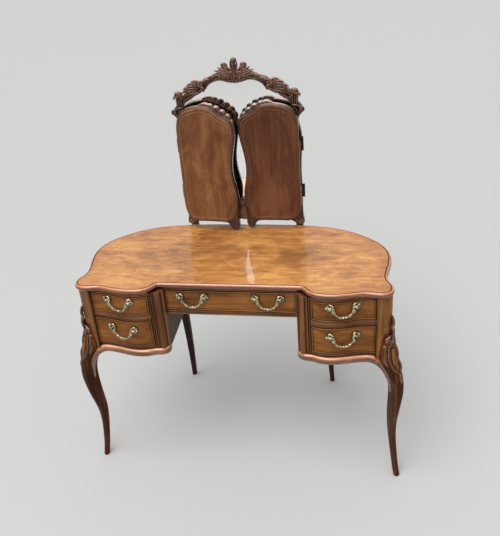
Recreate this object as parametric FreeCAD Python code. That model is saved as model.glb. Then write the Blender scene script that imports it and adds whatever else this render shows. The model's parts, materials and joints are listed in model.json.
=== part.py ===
import FreeCAD, Part
import math
import os

# Kidney-shaped dressing table with a folding triple mirror.
# Millimetres. X runs to the user's right as they face the table, Y to the back, Z up.
# The floor is z = 0. The design is drawn with y = 0 at the tips of the top's two front ears, and
# is moved back to front at the end, so that the origin lies under the middle of its outline.

V = FreeCAD.Vector
UP = V(0, 0, 1)
EAST = V(1, 0, 0)
NORTH = V(0, 1, 0)

# ---- driving dimensions -----------------------------------------------------------------------
DEPTH_CENTRE = 227.34         # y of the middle of the whole object's depth
TABLE_H = 760.0
TOP_T = 22.0
UNDER_TOP = TABLE_H - TOP_T
MOULDING_W = 10.0             # width of the moulded edge round the top panel
FIT = 0.3                     # gap between pieces that move past each other
GLUE_GAP = 0.1                # gap at a glued joint
CLEAR = 1.0                   # gap round a drawer front
BOARD_T = 10.0

PEDESTAL_BASE = 516.0         # underside of the pedestal bottoms
APRON_BASE = 502.0            # underside of the bullnose bead
BEAD_TOP = 528.0
BEAD_PROUD = 8.0
NOSE = 5.0                    # height of the bead's rounded top and bottom
RAIL_DEPTH = 38.0
COLUMN_IN = 206.0             # |x| of the kneehole face of a pedestal
COLUMN_OUT = 249.0            # |x| where the inner column meets the drawers
STILE_IN = 442.0              # |x| where the front leg's stile meets the drawers
RECESS_Y = 19.0               # face of the centre drawer
INSIDE_Y = 24.3               # front ends of the inner sides and bottoms
BACK_Y = 376.0                # back face of the carcass
POST_X = 262.0                # middle of a back leg's post
POST_HALF = 16.0
RAIL_T = 20.0                 # depth of the rails over and under the centre drawer
RUNNER_Y = (25.0, 238.0)      # runners on the kneehole side of a pedestal, front to back
OUTER_RUNNER_X = 446.0        # far edge of the runners on the curved side
OUTER_RUNNER_Y = (51.0, 228.0)
UPPER_RUNNER_BASE = 648.0
CENTRE_RUNNER_H = 11.0
GUIDE_H = 16.0                # a guide's height above its runner
KICKER_GAP = 3.0              # over the centre drawer's sides

UPPER_DRAWER_Z = (660.0, 729.0)
LOWER_DRAWER_Z = (541.0, 636.0)
CENTRE_DRAWER_Z = (656.0, 729.0)
CENTRE_APRON_Z = (640.0, 655.0)
FRONT_T = 18.0                # drawer front thickness
WALL_T = 8.0                  # drawer side thickness
BOTTOM_T = 5.0
DRAWER_LIFT = 4.0             # box underside above the front's lower edge
DRAWER_DROP = 9.0             # box top below the front's upper edge
FLOOR_LIFT = 3.0              # drawer bottom above the lower edges of its sides
SIDE_X = (256.0, 434.0)       # outside of a pedestal drawer's box
PEDESTAL_DRAWER_END = 238.0
FACADE_FRONT = -60.0          # in front of every drawer face
CENTRE_BOX_X = 197.0
CENTRE_DRAWER_END = 340.0

BOSS_SPAN = 78.0              # between the two bosses of a handle
BOSS_R = 9.0
BOSS_OUT = 3.0                # boss's plate in front of the drawer face
BOSS_SET = 5.0                # and how far back it is made before it is trimmed to the face
POST_R = 4.0                  # boss's eye post
EYE_R = 1.55                  # hole for the bail's pin
PIN_R = 1.5
EYE_OUT = 11.0                # distance of the bail's pin from the drawer face
BAIL_R = 2.4
BAIL_DROP = 34.0
KNOB_R = 4.0
PIN_L = 7.0
PEDESTAL_HANDLE_X = 344.0
CENTRE_HANDLE_X = 118.0
HANDLE_Z = {"upper": 714.0, "lower": 608.0, "centre": 708.0}

MIRROR_Y = 395.0              # front of the centre frame
MIRROR_T = 16.0
LIP_T = 8.0                   # frame timber in front of the centre glass
GLASS_T = 4.0
REBATE = 6.0                  # how far a glass runs under its frame
WING_Y = 361.0                # outer face of a folded wing's backboard
BACKBOARD_T = 4.5
WING_T = 30.0                 # whole thickness of a wing
WING_LIP = 9.0
WING_BORDER = 27.0            # from the backboard's edge to the wing glass's visible edge
HINGE_X = 206.0
HINGE_Y = 393.0
HINGE_Z = (892.0, 1058.0)
HINGE_H = 46.0
KNUCKLE_R = 3.5
KNUCKLE_GAP = 0.45            # between neighbouring knuckles
LEAF_T = 1.0
LEAF_W = 20.0
LEAF_OFFSET = 0.7             # from the pin's axis to a leaf's inner face
LEAF_SET = 0.5                # between a knuckle and the straight part of its leaf
LEFT_WING_AJAR = 6.0          # degrees by which the left wing stands open
STRUT_X = 185.0
STRUT_W = 24.0
STRUT_T = 12.0
STRUT_FOOT = 640.0
STRUT_HEAD = 1000.0
BLOCK_Z = (650.0, 716.0)      # packing block between a strut and the table's back
SCREW_Z = (664.0, 702.0, 790.0, 806.0)
SCREW_HEAD_R = 4.0
SCREW_HEAD_H = 2.0

SIDES = {"left": -1, "right": 1}

# Facade of a pedestal, seen from above, from the inner column's outer edge to the stile.
FACADE = [(249, -17), (272, -25), (300, -29), (330, -26), (365, -17.5), (400, -10), (442, -6)]

# Rounded corner from the kneehole face of a pedestal to its drawers, seen from above.
COLUMN_BOW = [(206, 19), (208, 3), (217, -9), (232, -15), (249, -17)]

# Outer edge of the top, seen from above: the corner of the recess, then the right half of the
# serpentine front, the ear, its neck and the kidney back, up to the middle of the back.
RECESS_EDGE = (223, 7)
TOP_EDGE = [(229, -2), (240, -16), (260, -29), (290, -35), (337, -33), (383, -23), (417, -18),
            (445, -22), (468, -20), (483, -10), (490, 4), (491, 16), (488, 32), (479, 50), (474, 66),
            (476, 100), (483, 140), (487, 178), (484, 215), (472, 250), (450, 284), (417, 316),
            (385, 341), (340, 366), (283, 386), (217, 397), (120, 402), (0, 403)]

# Outer face of a pedestal's curved side, seen from above, from the stile to the back leg.
SIDE_CURVE = [(474, 50.3), (466, 75), (461, 100), (466, 140), (470, 178), (467, 212), (456, 243),
              (436, 273), (405, 302), (374, 326), (331, 350), (278.3, 369)]
SIDE_T = 11.0

# Inside of a pedestal, seen from above: plan of its bottom board.
BOTTOM_PLAN = [(216.3, 24.6), (441, 24.6), (441, 51), (455, 51), (447, 100), (452, 150), (453, 200),
               (440, 240), (420, 262), (390, 289), (358, 312), (320, 334), (278.4, 350), (278.4, 343.7),
               (245.6, 343.7), (245.6, 365.6), (216.3, 365.6)]

# Centreline of a cabriole leg: height, x, y, then half its depth out towards the table's corner and
# half its width across that. The foot kicks out, the ankle runs back under the body and the knee
# stands out to the front.
LEG_LINE = [(0, 519, 19, 9, 9), (14, 516.5, 21, 9.5, 9), (45, 512, 26, 10, 9), (90, 507, 29, 11, 9),
            (150, 501, 31, 13, 9), (220, 497, 25, 17, 9.5), (290, 498, 10, 22, 10),
            (350, 502, 2, 25.5, 11.5), (400, 504, 0, 27.5, 14.5), (440, 499, -1, 27.5, 20),
            (480, 487, 1, 28, 26), (515, 474, 5, 29, 29)]
LEG_ROUNDING = 0.75           # corner radius over half the width
CANT = math.degrees(math.atan2(30.0, 43.0))
STILE_PLAN = [(442.3, -17.5), (486, 12), (488, 50), (442.3, 50)]
STILE_BASE = 505.0

# Bracket that carries the apron's bead down into the leg, seen from the front.
BRACKET = [(442.3, 507), (442.3, 491), (452, 484.5), (460, 475), (466, 463), (471, 448), (475, 430),
           (478, 410), (490, 410), (490, 507)]
BRACKET_Y = (-15.0, 14.0)

# Largest reach of a cutting block beyond the pieces that it trims.
BEYOND = 120.0

# Centreline of a back leg below its post: height, x, y, half-width.
BACK_LEG_LINE = [(0, 284.5, 491, 8), (150, 278, 466, 10.5), (335, 270, 422, 13), (450, 264, 383, 15),
                 (PEDESTAL_BASE, POST_X, 360, POST_HALF)]

# Half outline of a folded wing's backboard: |x| from the table's middle, height.
WING_BOARD = [(194, 840), (196, 900), (196, 1000), (196, 1100), (192, 1148), (180, 1172), (160, 1187),
              (130, 1196), (104, 1198), (83, 1194), (66, 1184), (50, 1171), (30, 1159), (16, 1147),
              (10, 1125), (9, 1100), (14, 1063), (20, 1030), (24, 985), (20, 940), (14, 910), (12, 885),
              (13, 857), (19, 832), (27, 811), (42, 799), (80, 797), (125, 797), (163, 798), (184, 812)]
# Half outline of the wing's carved frame behind it, with its scroll foot.
WING_FRAME = [(196, 835), (197, 900), (197, 1000), (197, 1100), (194, 1151), (183, 1176), (162, 1191),
              (131, 1200), (104, 1203), (83, 1200), (65, 1190), (48, 1177), (28, 1165), (12, 1152),
              (5, 1128), (4, 1100), (10, 1063), (16, 1030), (20, 985), (16, 940), (10, 910), (7, 885),
              (8, 857), (11, 825), (10, 795), (14, 770), (24, 764), (36, 769), (44, 785), (62, 791),
              (90, 791), (125, 791), (162, 792), (186, 807)]
# Centre frame: outer edge from the bottom middle round to the top middle, right half.
CENTRE_OUTER = [(0, 782), (60, 778), (120, 780), (160, 777), (176, 767), (190, 762), (203, 767),
                (203, 782), (200, 810), (198, 870), (198, 1000), (198, 1110), (199, 1150), (207, 1160),
                (210, 1172), (204, 1186), (197, 1196), (198, 1214), (189, 1232), (179, 1228),
                (165, 1240), (148, 1252), (139, 1262), (118, 1271), (100, 1277), (78, 1284), (60, 1293),
                (25, 1300), (0, 1301)]
# Centre frame: edge of the glass opening, right half, with the shell rising at the bottom.
CENTRE_INNER = [(0, 862), (16, 856), (27, 838), (36, 818), (70, 813), (140, 815), (164, 832),
                (170, 870), (172, 1000), (172, 1110), (175, 1168), (170, 1198), (150, 1212), (133, 1225),
                (117, 1238), (97, 1243), (88, 1255), (72, 1266), (48, 1272), (20, 1265), (0, 1263)]


# Crest on the arch: half outlines of the plume and of the leaf fan, and the middle of a side curl.
PLUME = [(0, 1290), (8, 1300), (7, 1316), (13, 1330), (9, 1340), (0, 1344)]
FAN = [(0, 1285), (30, 1290), (56, 1296), (60, 1305), (46, 1309), (30, 1310), (16, 1312), (0, 1310)]
CURL = (33.0, 1316.0)
CURL_R = 10.0
CREST_INSET = 2.0             # behind the frame's face and in front of its back

# Half of a bail from its pin to the middle of its drop: |x|, height from the pin, bend radius.
BAIL_HALF = [(34.0, 0, 0), (28.0, 0, 3.5), (24.5, -19.0, 9.0), (13.0, -BAIL_DROP, 12.0)]


# ---- helpers ----------------------------------------------------------------------------------
def curve(points):
    """Smooth edge through plan points."""
    spline = Part.BSplineCurve()
    spline.interpolate([V(x, y, 0) for x, y in points])
    return spline.toShape()


def line(a, b):
    """Straight edge between two plan points."""
    return Part.LineSegment(V(a[0], a[1], 0), V(b[0], b[1], 0)).toShape()


def wire(edges):
    return Part.Wire(Part.__sortEdges__(edges))


def upright(outline, z0, z1):
    """Solid standing on a plan outline."""
    solid = Part.Face(outline).extrude(V(0, 0, z1 - z0))
    solid.translate(V(0, 0, z0))
    return solid


def offset_points(points, distance):
    """Plan points moved sideways, to the right of the way the list runs."""
    moved = []
    last = len(points) - 1
    for i, (x, y) in enumerate(points):
        ahead = points[min(i + 1, last)]
        behind = points[max(i - 1, 0)]
        run = math.hypot(ahead[0] - behind[0], ahead[1] - behind[1])
        moved.append((x + distance * (ahead[1] - behind[1]) / run, y - distance * (ahead[0] - behind[0]) / run))
    return moved


def box(x0, x1, y0, y1, z0, z1):
    return Part.makeBox(x1 - x0, y1 - y0, z1 - z0, V(x0, y0, z0))


def plan_prism(points, z0, z1):
    """Upright prism on a plan polygon."""
    ring = [V(x, y, 0) for x, y in points]
    return upright(Part.makePolygon(ring + ring[:1]), z0, z1)


def elevation(points, y0, y1):
    """Board with a smooth closed outline in x and z, between two y."""
    spline = Part.BSplineCurve()
    spline.interpolate([V(x, y0, z) for x, z in points], PeriodicFlag=True)
    return Part.Face(Part.Wire([spline.toShape()])).extrude(V(0, y1 - y0, 0))


def widened(points, distance):
    """Closed anticlockwise outline moved outwards by a distance, or inwards if negative."""
    moved = []
    for i, (x, z) in enumerate(points):
        behind = points[i - 1]
        ahead = points[(i + 1) % len(points)]
        run = math.hypot(ahead[0] - behind[0], ahead[1] - behind[1])
        moved.append((x + distance * (ahead[1] - behind[1]) / run, z - distance * (ahead[0] - behind[0]) / run))
    return moved


def left_of(points):
    """The same points on the other side of the middle."""
    return [(-x, other) for x, other in points]


def whole(half):
    """Closed list of x, z points from its right half, which runs from the middle to the middle."""
    return half + left_of(half[1:-1])[::-1]


def fuse(shapes):
    return shapes[0].multiFuse(shapes[1:]).removeSplitter()


def mirrored(shape):
    return shape.mirror(V(0, 0, 0), EAST)


def on_side(shape, side):
    """A right-hand piece, or its mirror image on the left."""
    return shape if SIDES[side] > 0 else mirrored(shape)


def save(name, *shapes):
    """Write one node, moved so that the origin is under the middle of the object."""
    node = shapes[0].copy() if len(shapes) == 1 else Part.makeCompound(list(shapes))
    node.translate(V(0, -DEPTH_CENTRE, 0))
    node.exportStep("parts/%s.step" % name)


# ---- top --------------------------------------------------------------------------------------
def top_outline(inset=0.0):
    """Closed outline of the top, or of the panel inside its moulded edge."""
    corner = (RECESS_EDGE[0] + 0.4 * inset, RECESS_EDGE[1] + inset)
    rest = offset_points(TOP_EDGE + left_of(TOP_EDGE[:-1])[::-1], -inset)
    far = (-corner[0], corner[1])
    return wire([line(far, corner), line(corner, rest[0]), curve(rest), line(rest[-1], far)])


def make_top():
    panel = upright(top_outline(MOULDING_W), UNDER_TOP, TABLE_H)
    slab = upright(top_outline(), UNDER_TOP, TABLE_H)
    save("top_panel", panel)
    save("top_edge_moulding", slab.cut(panel))


# ---- legs -------------------------------------------------------------------------------------
def leg_section(z, x, y, depth, width):
    """Rounded rectangle, turned so that its depth runs out through the canted corner."""
    radius = width * LEG_ROUNDING
    flat_out, flat_across = depth - radius, width - radius
    middle = V(x, y, z)
    across = V(math.cos(math.radians(CANT)), math.sin(math.radians(CANT)), 0)
    out = V(across.y, -across.x, 0)
    half_arc = radius * math.sin(math.pi / 4)
    edges = []
    for turn in range(4):
        a, b = (out, across) if turn % 2 == 0 else (across, -out)
        if turn > 1:
            a, b = -a, -b
        reach, flat = (depth, flat_across) if turn % 2 == 0 else (width, flat_out)
        start, end = middle + a * reach - b * flat, middle + a * reach + b * flat
        centre = end - a * radius
        edges.append(Part.LineSegment(start, end).toShape())
        edges.append(Part.Arc(end, centre + (a + b) * half_arc, centre + b * radius).toShape())
    return Part.Wire(edges)


def front_leg():
    """Canted stile and cabriole leg in one timber, with its bracket."""
    stile = plan_prism(STILE_PLAN, STILE_BASE, UNDER_TOP)
    ring = [V(x, BRACKET_Y[0], z) for x, z in BRACKET]
    bracket = Part.Face(Part.makePolygon(ring + ring[:1])).extrude(V(0, BRACKET_Y[1] - BRACKET_Y[0], 0))
    leg = Part.makeLoft([leg_section(*row) for row in LEG_LINE], True, False)
    shoulder = box(STILE_IN - BEYOND, STILE_PLAN[0][0], -BEYOND, BEYOND, APRON_BASE - CLEAR, BEAD_TOP)
    return fuse([stile, leg.cut(shoulder), bracket])


def back_leg():
    """Square post inside the pedestal's corner, running out below into a tapered sabre leg."""
    wires = []
    for z, x, y, half in BACK_LEG_LINE:
        ring = [V(x + a * half, y + b * half, z) for a, b in ((-1, -1), (1, -1), (1, 1), (-1, 1))]
        wires.append(Part.makePolygon(ring + ring[:1]))
    post = box(POST_X - POST_HALF, POST_X + POST_HALF, BACK_Y - 2 * POST_HALF, BACK_Y, PEDESTAL_BASE, UNDER_TOP)
    return fuse([Part.makeLoft(wires, True, False), post])


# ---- carcass ----------------------------------------------------------------------------------
def facade_block(x0, x1, z0, z1, proud=0.0, depth=FRONT_T):
    """Piece of the serpentine front between two x, proud of the facade by a set amount."""
    front = [(x, y - proud) for x, y in FACADE]
    rear = [(x, y + depth) for x, y in FACADE]
    edges = [curve(front), curve(rear), line(front[0], rear[0]), line(front[-1], rear[-1])]
    return upright(wire(edges), z0, z1).common(box(x0, x1, -BEYOND, BEYOND, z0 - 1, z1 + 1))


def inner_column():
    """Rounded corner post between the recess and the pedestal's drawers."""
    back_in, back_out = (COLUMN_IN, INSIDE_Y - FIT), (COLUMN_OUT, INSIDE_Y - FIT)
    edges = [curve(COLUMN_BOW), line(COLUMN_BOW[-1], back_out), line(back_out, back_in),
             line(back_in, COLUMN_BOW[0])]
    return upright(wire(edges), BEAD_TOP + GLUE_GAP, UNDER_TOP)


def bead_outline(z, proud):
    """Plan outline of the apron at one height, standing proud of the column and facade."""
    outer = [(x, y - proud) for x, y in COLUMN_BOW + FACADE[1:]]
    back_in, back_out = (outer[0][0], INSIDE_Y - FIT), (STILE_IN, INSIDE_Y - FIT)
    edges = [curve(outer), line(outer[-1], back_out), line(back_out, back_in), line(back_in, outer[0])]
    outline = wire(edges)
    outline.translate(V(0, 0, z))
    return outline


def apron():
    """Lower rail with the bullnose bead that runs round the pedestal's foot."""
    layers = [(APRON_BASE, 0.4), (APRON_BASE + NOSE, 1.0), (BEAD_TOP - NOSE, 1.0), (BEAD_TOP, 0.5)]
    bead = Part.makeLoft([bead_outline(z, part * BEAD_PROUD) for z, part in layers], True, True)
    rail = facade_block(COLUMN_OUT + GLUE_GAP, STILE_IN, BEAD_TOP, LOWER_DRAWER_Z[0] - CLEAR, depth=RAIL_DEPTH)
    return fuse([bead, rail])


def side_panel():
    """Curved outer side, from the stile to the back leg's post."""
    inner = offset_points(SIDE_CURVE, -SIDE_T)
    inner[0] = (SIDE_CURVE[0][0] - SIDE_T, SIDE_CURVE[0][1])
    inner[-1] = (SIDE_CURVE[-1][0], SIDE_CURVE[-1][1] - SIDE_T)
    edges = [curve(SIDE_CURVE), curve(inner), line(SIDE_CURVE[0], inner[0]), line(SIDE_CURVE[-1], inner[-1])]
    return upright(wire(edges), PEDESTAL_BASE, UNDER_TOP)


def both(shape):
    """The piece and its mirror image."""
    return [shape, mirrored(shape)]


def make_carcass():
    for side in SIDES:
        save("front_leg_" + side, on_side(front_leg(), side))
        save("back_leg_" + side, on_side(back_leg(), side))
        save("side_panel_" + side, on_side(side_panel(), side))
        inner_side = box(COLUMN_IN, COLUMN_IN + BOARD_T, INSIDE_Y, BACK_Y, PEDESTAL_BASE, UNDER_TOP)
        save("inner_side_" + side, on_side(inner_side, side))
        save("apron_" + side, on_side(apron(), side))
    save("inner_columns", *both(inner_column()))
    save("pedestal_bottoms", *both(plan_prism(BOTTOM_PLAN, PEDESTAL_BASE, PEDESTAL_BASE + BOARD_T)))
    reach = COLUMN_IN - FIT
    rail_ends = (COLUMN_OUT + GLUE_GAP, STILE_IN)
    centre_y = (RECESS_Y, RECESS_Y + RAIL_T)
    top_rail = facade_block(*rail_ends, UPPER_DRAWER_Z[1] + CLEAR, UNDER_TOP, depth=RAIL_DEPTH)
    centre_rail = box(-reach, reach, *centre_y, CENTRE_DRAWER_Z[1] + CLEAR, UNDER_TOP)
    save("front_top_rails", centre_rail, *both(top_rail))
    divider = facade_block(*rail_ends, LOWER_DRAWER_Z[1] + CLEAR, UPPER_DRAWER_Z[0] - CLEAR,
                           depth=RAIL_DEPTH)
    save("divider_rails", *both(divider))
    save("centre_apron_rail", box(-reach, reach, *centre_y, *CENTRE_APRON_Z))
    back = box(-reach, reach, BACK_Y - BOARD_T, BACK_Y, CENTRE_APRON_Z[0], UNDER_TOP)
    pedestal_back = box(COLUMN_IN + BOARD_T + FIT, POST_X - POST_HALF - FIT, BACK_Y - BOARD_T, BACK_Y,
                        PEDESTAL_BASE, UNDER_TOP)
    save("back_boards", back, *both(pedestal_back))
    make_runners()


def make_runners():
    """Bearers under every drawer, with a guide beside each pedestal drawer."""
    pieces = []
    wall = COLUMN_IN + BOARD_T
    for low, floor in ((UPPER_DRAWER_Z[0], UPPER_RUNNER_BASE), (LOWER_DRAWER_Z[0], PEDESTAL_BASE + BOARD_T)):
        top = low + CLEAR + DRAWER_LIFT - FIT
        bearer = box(wall, SIDE_X[0] + WALL_T, *RUNNER_Y, floor, top)
        guide = box(wall, SIDE_X[0] - FIT * 2, *RUNNER_Y, floor, top + GUIDE_H)
        outer = box(SIDE_X[1] - WALL_T, OUTER_RUNNER_X, *OUTER_RUNNER_Y, floor, top)
        pieces += both(fuse([bearer, guide])) + both(outer)
    along = (CENTRE_BOX_X - WALL_T, COLUMN_IN, RECESS_Y + RAIL_T + CLEAR, CENTRE_DRAWER_END)
    top = CENTRE_DRAWER_Z[0] + CLEAR + DRAWER_LIFT - FIT
    kicker_base = CENTRE_DRAWER_Z[1] - CLEAR - DRAWER_DROP + KICKER_GAP
    pieces += both(box(*along, top - CENTRE_RUNNER_H, top))
    pieces += both(box(*along, kicker_base, UNDER_TOP))
    save("drawer_runners", *pieces)


# ---- drawers ----------------------------------------------------------------------------------
def tray(x0, x1, y_end, z0, z1, ahead):
    """Sides and back, and the bottom board, cut to meet the rear of the front."""
    y_start = FACADE_FRONT
    walls = [box(x0, x0 + WALL_T, y_start, y_end, z0, z1).cut(ahead),
             box(x1 - WALL_T, x1, y_start, y_end, z0, z1).cut(ahead),
             box(x0 + WALL_T, x1 - WALL_T, y_end - WALL_T, y_end, z0, z1)]
    floor_z = z0 + FLOOR_LIFT
    floor = box(x0 + WALL_T, x1 - WALL_T, y_start, y_end - WALL_T, floor_z, floor_z + BOTTOM_T)
    return walls, floor.cut(ahead)


def pedestal_drawer(low, high):
    z0, z1 = low + CLEAR, high - CLEAR
    front = facade_block(COLUMN_OUT + CLEAR, STILE_IN - CLEAR, z0, z1)
    ahead = facade_block(COLUMN_OUT, STILE_IN, z0, z1, proud=BEYOND / 2)
    walls, floor = tray(*SIDE_X, PEDESTAL_DRAWER_END, z0 + DRAWER_LIFT, z1 - DRAWER_DROP, ahead)
    return front, walls, floor


def centre_drawer():
    z0, z1 = CENTRE_DRAWER_Z[0] + CLEAR, CENTRE_DRAWER_Z[1] - CLEAR
    reach = COLUMN_IN - CLEAR
    front = box(-reach, reach, RECESS_Y, RECESS_Y + FRONT_T, z0, z1)
    ahead = box(-reach, reach, -BEYOND, RECESS_Y + FRONT_T, z0, z1)
    walls, floor = tray(-CENTRE_BOX_X, CENTRE_BOX_X, CENTRE_DRAWER_END, z0 + DRAWER_LIFT,
                        z1 - DRAWER_DROP, ahead)
    return front, walls, floor


def facade_y(x):
    """Depth of a pedestal's face at x."""
    probe = Part.LineSegment(V(x, -BEYOND, 0), V(x, BEYOND, 0)).toShape()
    return curve(FACADE).distToShape(probe)[1][0][0].y


# ---- handles ----------------------------------------------------------------------------------
def rounded_path(corners):
    """Wire of straight runs joined by tangent arcs; each corner is (x, z, radius)."""
    points = [V(x, 0, z) for x, z, _ in corners]
    edges = []
    start = points[0]
    for i in range(1, len(points) - 1):
        back = (points[i - 1] - points[i]).normalize()
        ahead = (points[i + 1] - points[i]).normalize()
        half = back.getAngle(ahead) / 2
        cut = corners[i][2] / math.tan(half)
        middle = (back + ahead).normalize() * (corners[i][2] / math.sin(half) - corners[i][2])
        entry, leave = points[i] + back * cut, points[i] + ahead * cut
        edges.append(Part.LineSegment(start, entry).toShape())
        edges.append(Part.Arc(entry, points[i] + middle, leave).toShape())
        start = leave
    edges.append(Part.LineSegment(start, points[-1]).toShape())
    return Part.Wire(edges)


def local_bail():
    """Swan-necked bail hanging from its pins; the pins' axis is the local x axis."""
    path = rounded_path(BAIL_HALF + [(-x, z, r) for x, z, r in reversed(BAIL_HALF)])
    reach = BAIL_HALF[0][0]
    circle = Part.Wire([Part.makeCircle(BAIL_R, V(reach, 0, 0), EAST)])
    body = path.makePipeShell([circle], True, False)
    pins = [Part.makeCylinder(PIN_R, PIN_L, V(side * (reach - 1), 0, 0), EAST * side) for side in (1, -1)]
    knob = Part.makeSphere(KNOB_R, V(0, 0, -BAIL_DROP), EAST)
    return fuse([body, knob] + pins)


def local_boss(offset):
    """Round rosette with an eye post, on a face in the local plane y = 0."""
    plate = Part.makeCylinder(BOSS_R, BOSS_SET + BOSS_OUT, V(offset, BOSS_SET, 0), -NORTH)
    post = Part.makeCylinder(POST_R, EYE_OUT + POST_R, V(offset, 0, 0), -NORTH)
    eye = Part.makeCylinder(EYE_R, 3 * POST_R, V(offset - 1.5 * POST_R, -EYE_OUT, 0), EAST)
    return fuse([plate, post]).cut(eye)


def placed(shape, x, y, z, turn):
    """A handle piece turned about the vertical and moved to its drawer face."""
    moved = shape.copy()
    moved.rotate(V(0, 0, 0), UP, turn)
    moved.translate(V(x, y, z))
    return moved


def handle(x, y, z, turn, front):
    """Two bosses, trimmed to sit on the drawer front, and the bail between them."""
    bosses = [placed(local_boss(side * BOSS_SPAN / 2), x, y, z, turn).cut(front) for side in (-1, 1)]
    bail = placed(local_bail(), x, y, z, turn)
    out = V(math.sin(math.radians(turn)), -math.cos(math.radians(turn)), 0)
    bail.translate(out * EYE_OUT)
    return bosses, bail


def pedestal_handle(z, front):
    near, far = PEDESTAL_HANDLE_X - BOSS_SPAN / 2, PEDESTAL_HANDLE_X + BOSS_SPAN / 2
    y_near, y_far = facade_y(near), facade_y(far)
    turn = math.degrees(math.atan2(y_far - y_near, BOSS_SPAN))
    return handle(PEDESTAL_HANDLE_X, (y_near + y_far) / 2, z, turn, front)


def make_drawers():
    for level, (low, high) in {"upper": UPPER_DRAWER_Z, "lower": LOWER_DRAWER_Z}.items():
        front, walls, floor = pedestal_drawer(low, high)
        bosses, bail = pedestal_handle(HANDLE_Z[level], front)
        for side in SIDES:
            name = "%s_%s_" % (side, level)
            save(name + "drawer_front", on_side(front, side))
            save(name + "drawer_box", *[on_side(wall, side) for wall in walls])
            save(name + "drawer_bottom", on_side(floor, side))
            save(name + "bosses", *[on_side(boss, side) for boss in bosses])
            save(name + "bail", on_side(bail, side))
    front, walls, floor = centre_drawer()
    bosses, bail = handle(CENTRE_HANDLE_X, RECESS_Y, HANDLE_Z["centre"], 0, front)
    save("centre_drawer_front", front)
    save("centre_drawer_box", *walls)
    save("centre_drawer_bottom", floor)
    save("centre_bosses", *(bosses + [mirrored(boss) for boss in bosses]))
    for side in SIDES:
        save("centre_%s_bail" % side, on_side(bail, side))


# ---- mirror -----------------------------------------------------------------------------------
def centre_frame():
    outer = elevation(whole(CENTRE_OUTER), MIRROR_Y, MIRROR_Y + MIRROR_T)
    opening = whole(CENTRE_INNER)
    sight = elevation(opening, MIRROR_Y - 1, MIRROR_Y + MIRROR_T + 1)
    rebate = elevation(widened(opening, REBATE), MIRROR_Y + LIP_T, MIRROR_Y + MIRROR_T + 1)
    return outer.cut(sight).cut(rebate)


def crest(frame):
    """Plume, side curls and leaf fan that stand on the arch."""
    y0, depth = MIRROR_Y + CREST_INSET, MIRROR_T - 2 * CREST_INSET
    curls = [Part.makeCylinder(CURL_R, depth, V(side * CURL[0], y0, CURL[1]), NORTH) for side in (-1, 1)]
    leaves = [elevation(whole(points), y0, y0 + depth) for points in (PLUME, FAN)]
    return fuse(leaves + curls).cut(frame)


def wing_pieces():
    """Backboard, carved frame and glass of the right wing, folded over the centre glass."""
    frame_y = WING_Y + BACKBOARD_T
    front_y = WING_Y + WING_T
    board = elevation(WING_BOARD, WING_Y, frame_y)
    sight = elevation(widened(WING_BOARD, -WING_BORDER), frame_y - 1, front_y + 1)
    rebate = elevation(widened(WING_BOARD, REBATE - WING_BORDER), frame_y - 1, front_y - WING_LIP)
    frame = elevation(WING_FRAME, frame_y, front_y).cut(sight).cut(rebate)
    glass = elevation(widened(WING_BOARD, REBATE - WING_BORDER), front_y - WING_LIP - GLASS_T,
                      front_y - WING_LIP)
    return {"wing_backboard": board, "wing_frame": frame, "wing_glass": glass}


def hinge_leaf(z_middle, moving):
    """Leaf and knuckles of a butt hinge: the wing's has the middle knuckle, the frame's the others."""
    side = -1 if moving else 1
    face_y = sorted((HINGE_Y + side * LEAF_OFFSET, HINGE_Y + side * (LEAF_OFFSET + LEAF_T)))
    low, high = z_middle - HINGE_H / 2, z_middle + HINGE_H / 2
    inner = HINGE_H / 6 - KNUCKLE_GAP / 2
    outer = HINGE_H / 6 + KNUCKLE_GAP / 2
    spans = [(z_middle - inner, z_middle + inner)]
    if not moving:
        spans = [(low, z_middle - outer), (z_middle + outer, high)]
    leaf_edge = HINGE_X - KNUCKLE_R - LEAF_SET
    parts = [box(HINGE_X - LEAF_W, leaf_edge, *face_y, low, high)]
    for z0, z1 in spans:
        tab = box(leaf_edge - LEAF_T, HINGE_X, *face_y, z0, z1)
        knuckle = Part.makeCylinder(KNUCKLE_R, z1 - z0, V(HINGE_X, HINGE_Y, z0), UP)
        parts.append(fuse([tab, knuckle]))
    bore = EYE_R if moving else PIN_R
    leaf = fuse(parts).cut(Part.makeCylinder(bore, HINGE_H, V(HINGE_X, HINGE_Y, low), UP))
    if moving:
        return [leaf]
    return [leaf, Part.makeCylinder(PIN_R, HINGE_H, V(HINGE_X, HINGE_Y, low), UP)]


def swung(shape, side):
    """A wing piece on its side; the left wing stands slightly open about its hinge."""
    piece = on_side(shape, side)
    if side == "left":
        piece = piece.copy()
        piece.rotate(V(-HINGE_X, HINGE_Y, 0), UP, -LEFT_WING_AJAR)
    return piece


def strut():
    """Batten behind the mirror frame, with the packing block that ties it to the table's back."""
    x0, x1 = STRUT_X - STRUT_W / 2, STRUT_X + STRUT_W / 2
    rear = MIRROR_Y + MIRROR_T
    batten = box(x0, x1, rear, rear + STRUT_T, STRUT_FOOT, STRUT_HEAD)
    block = box(x0, x1, BACK_Y, rear, *BLOCK_Z)
    return fuse([batten, block])


def strut_screws():
    """Round heads of the screws through a batten."""
    rear = MIRROR_Y + MIRROR_T + STRUT_T
    return [Part.makeCylinder(SCREW_HEAD_R, SCREW_HEAD_H, V(STRUT_X, rear, z), NORTH) for z in SCREW_Z]


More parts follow.
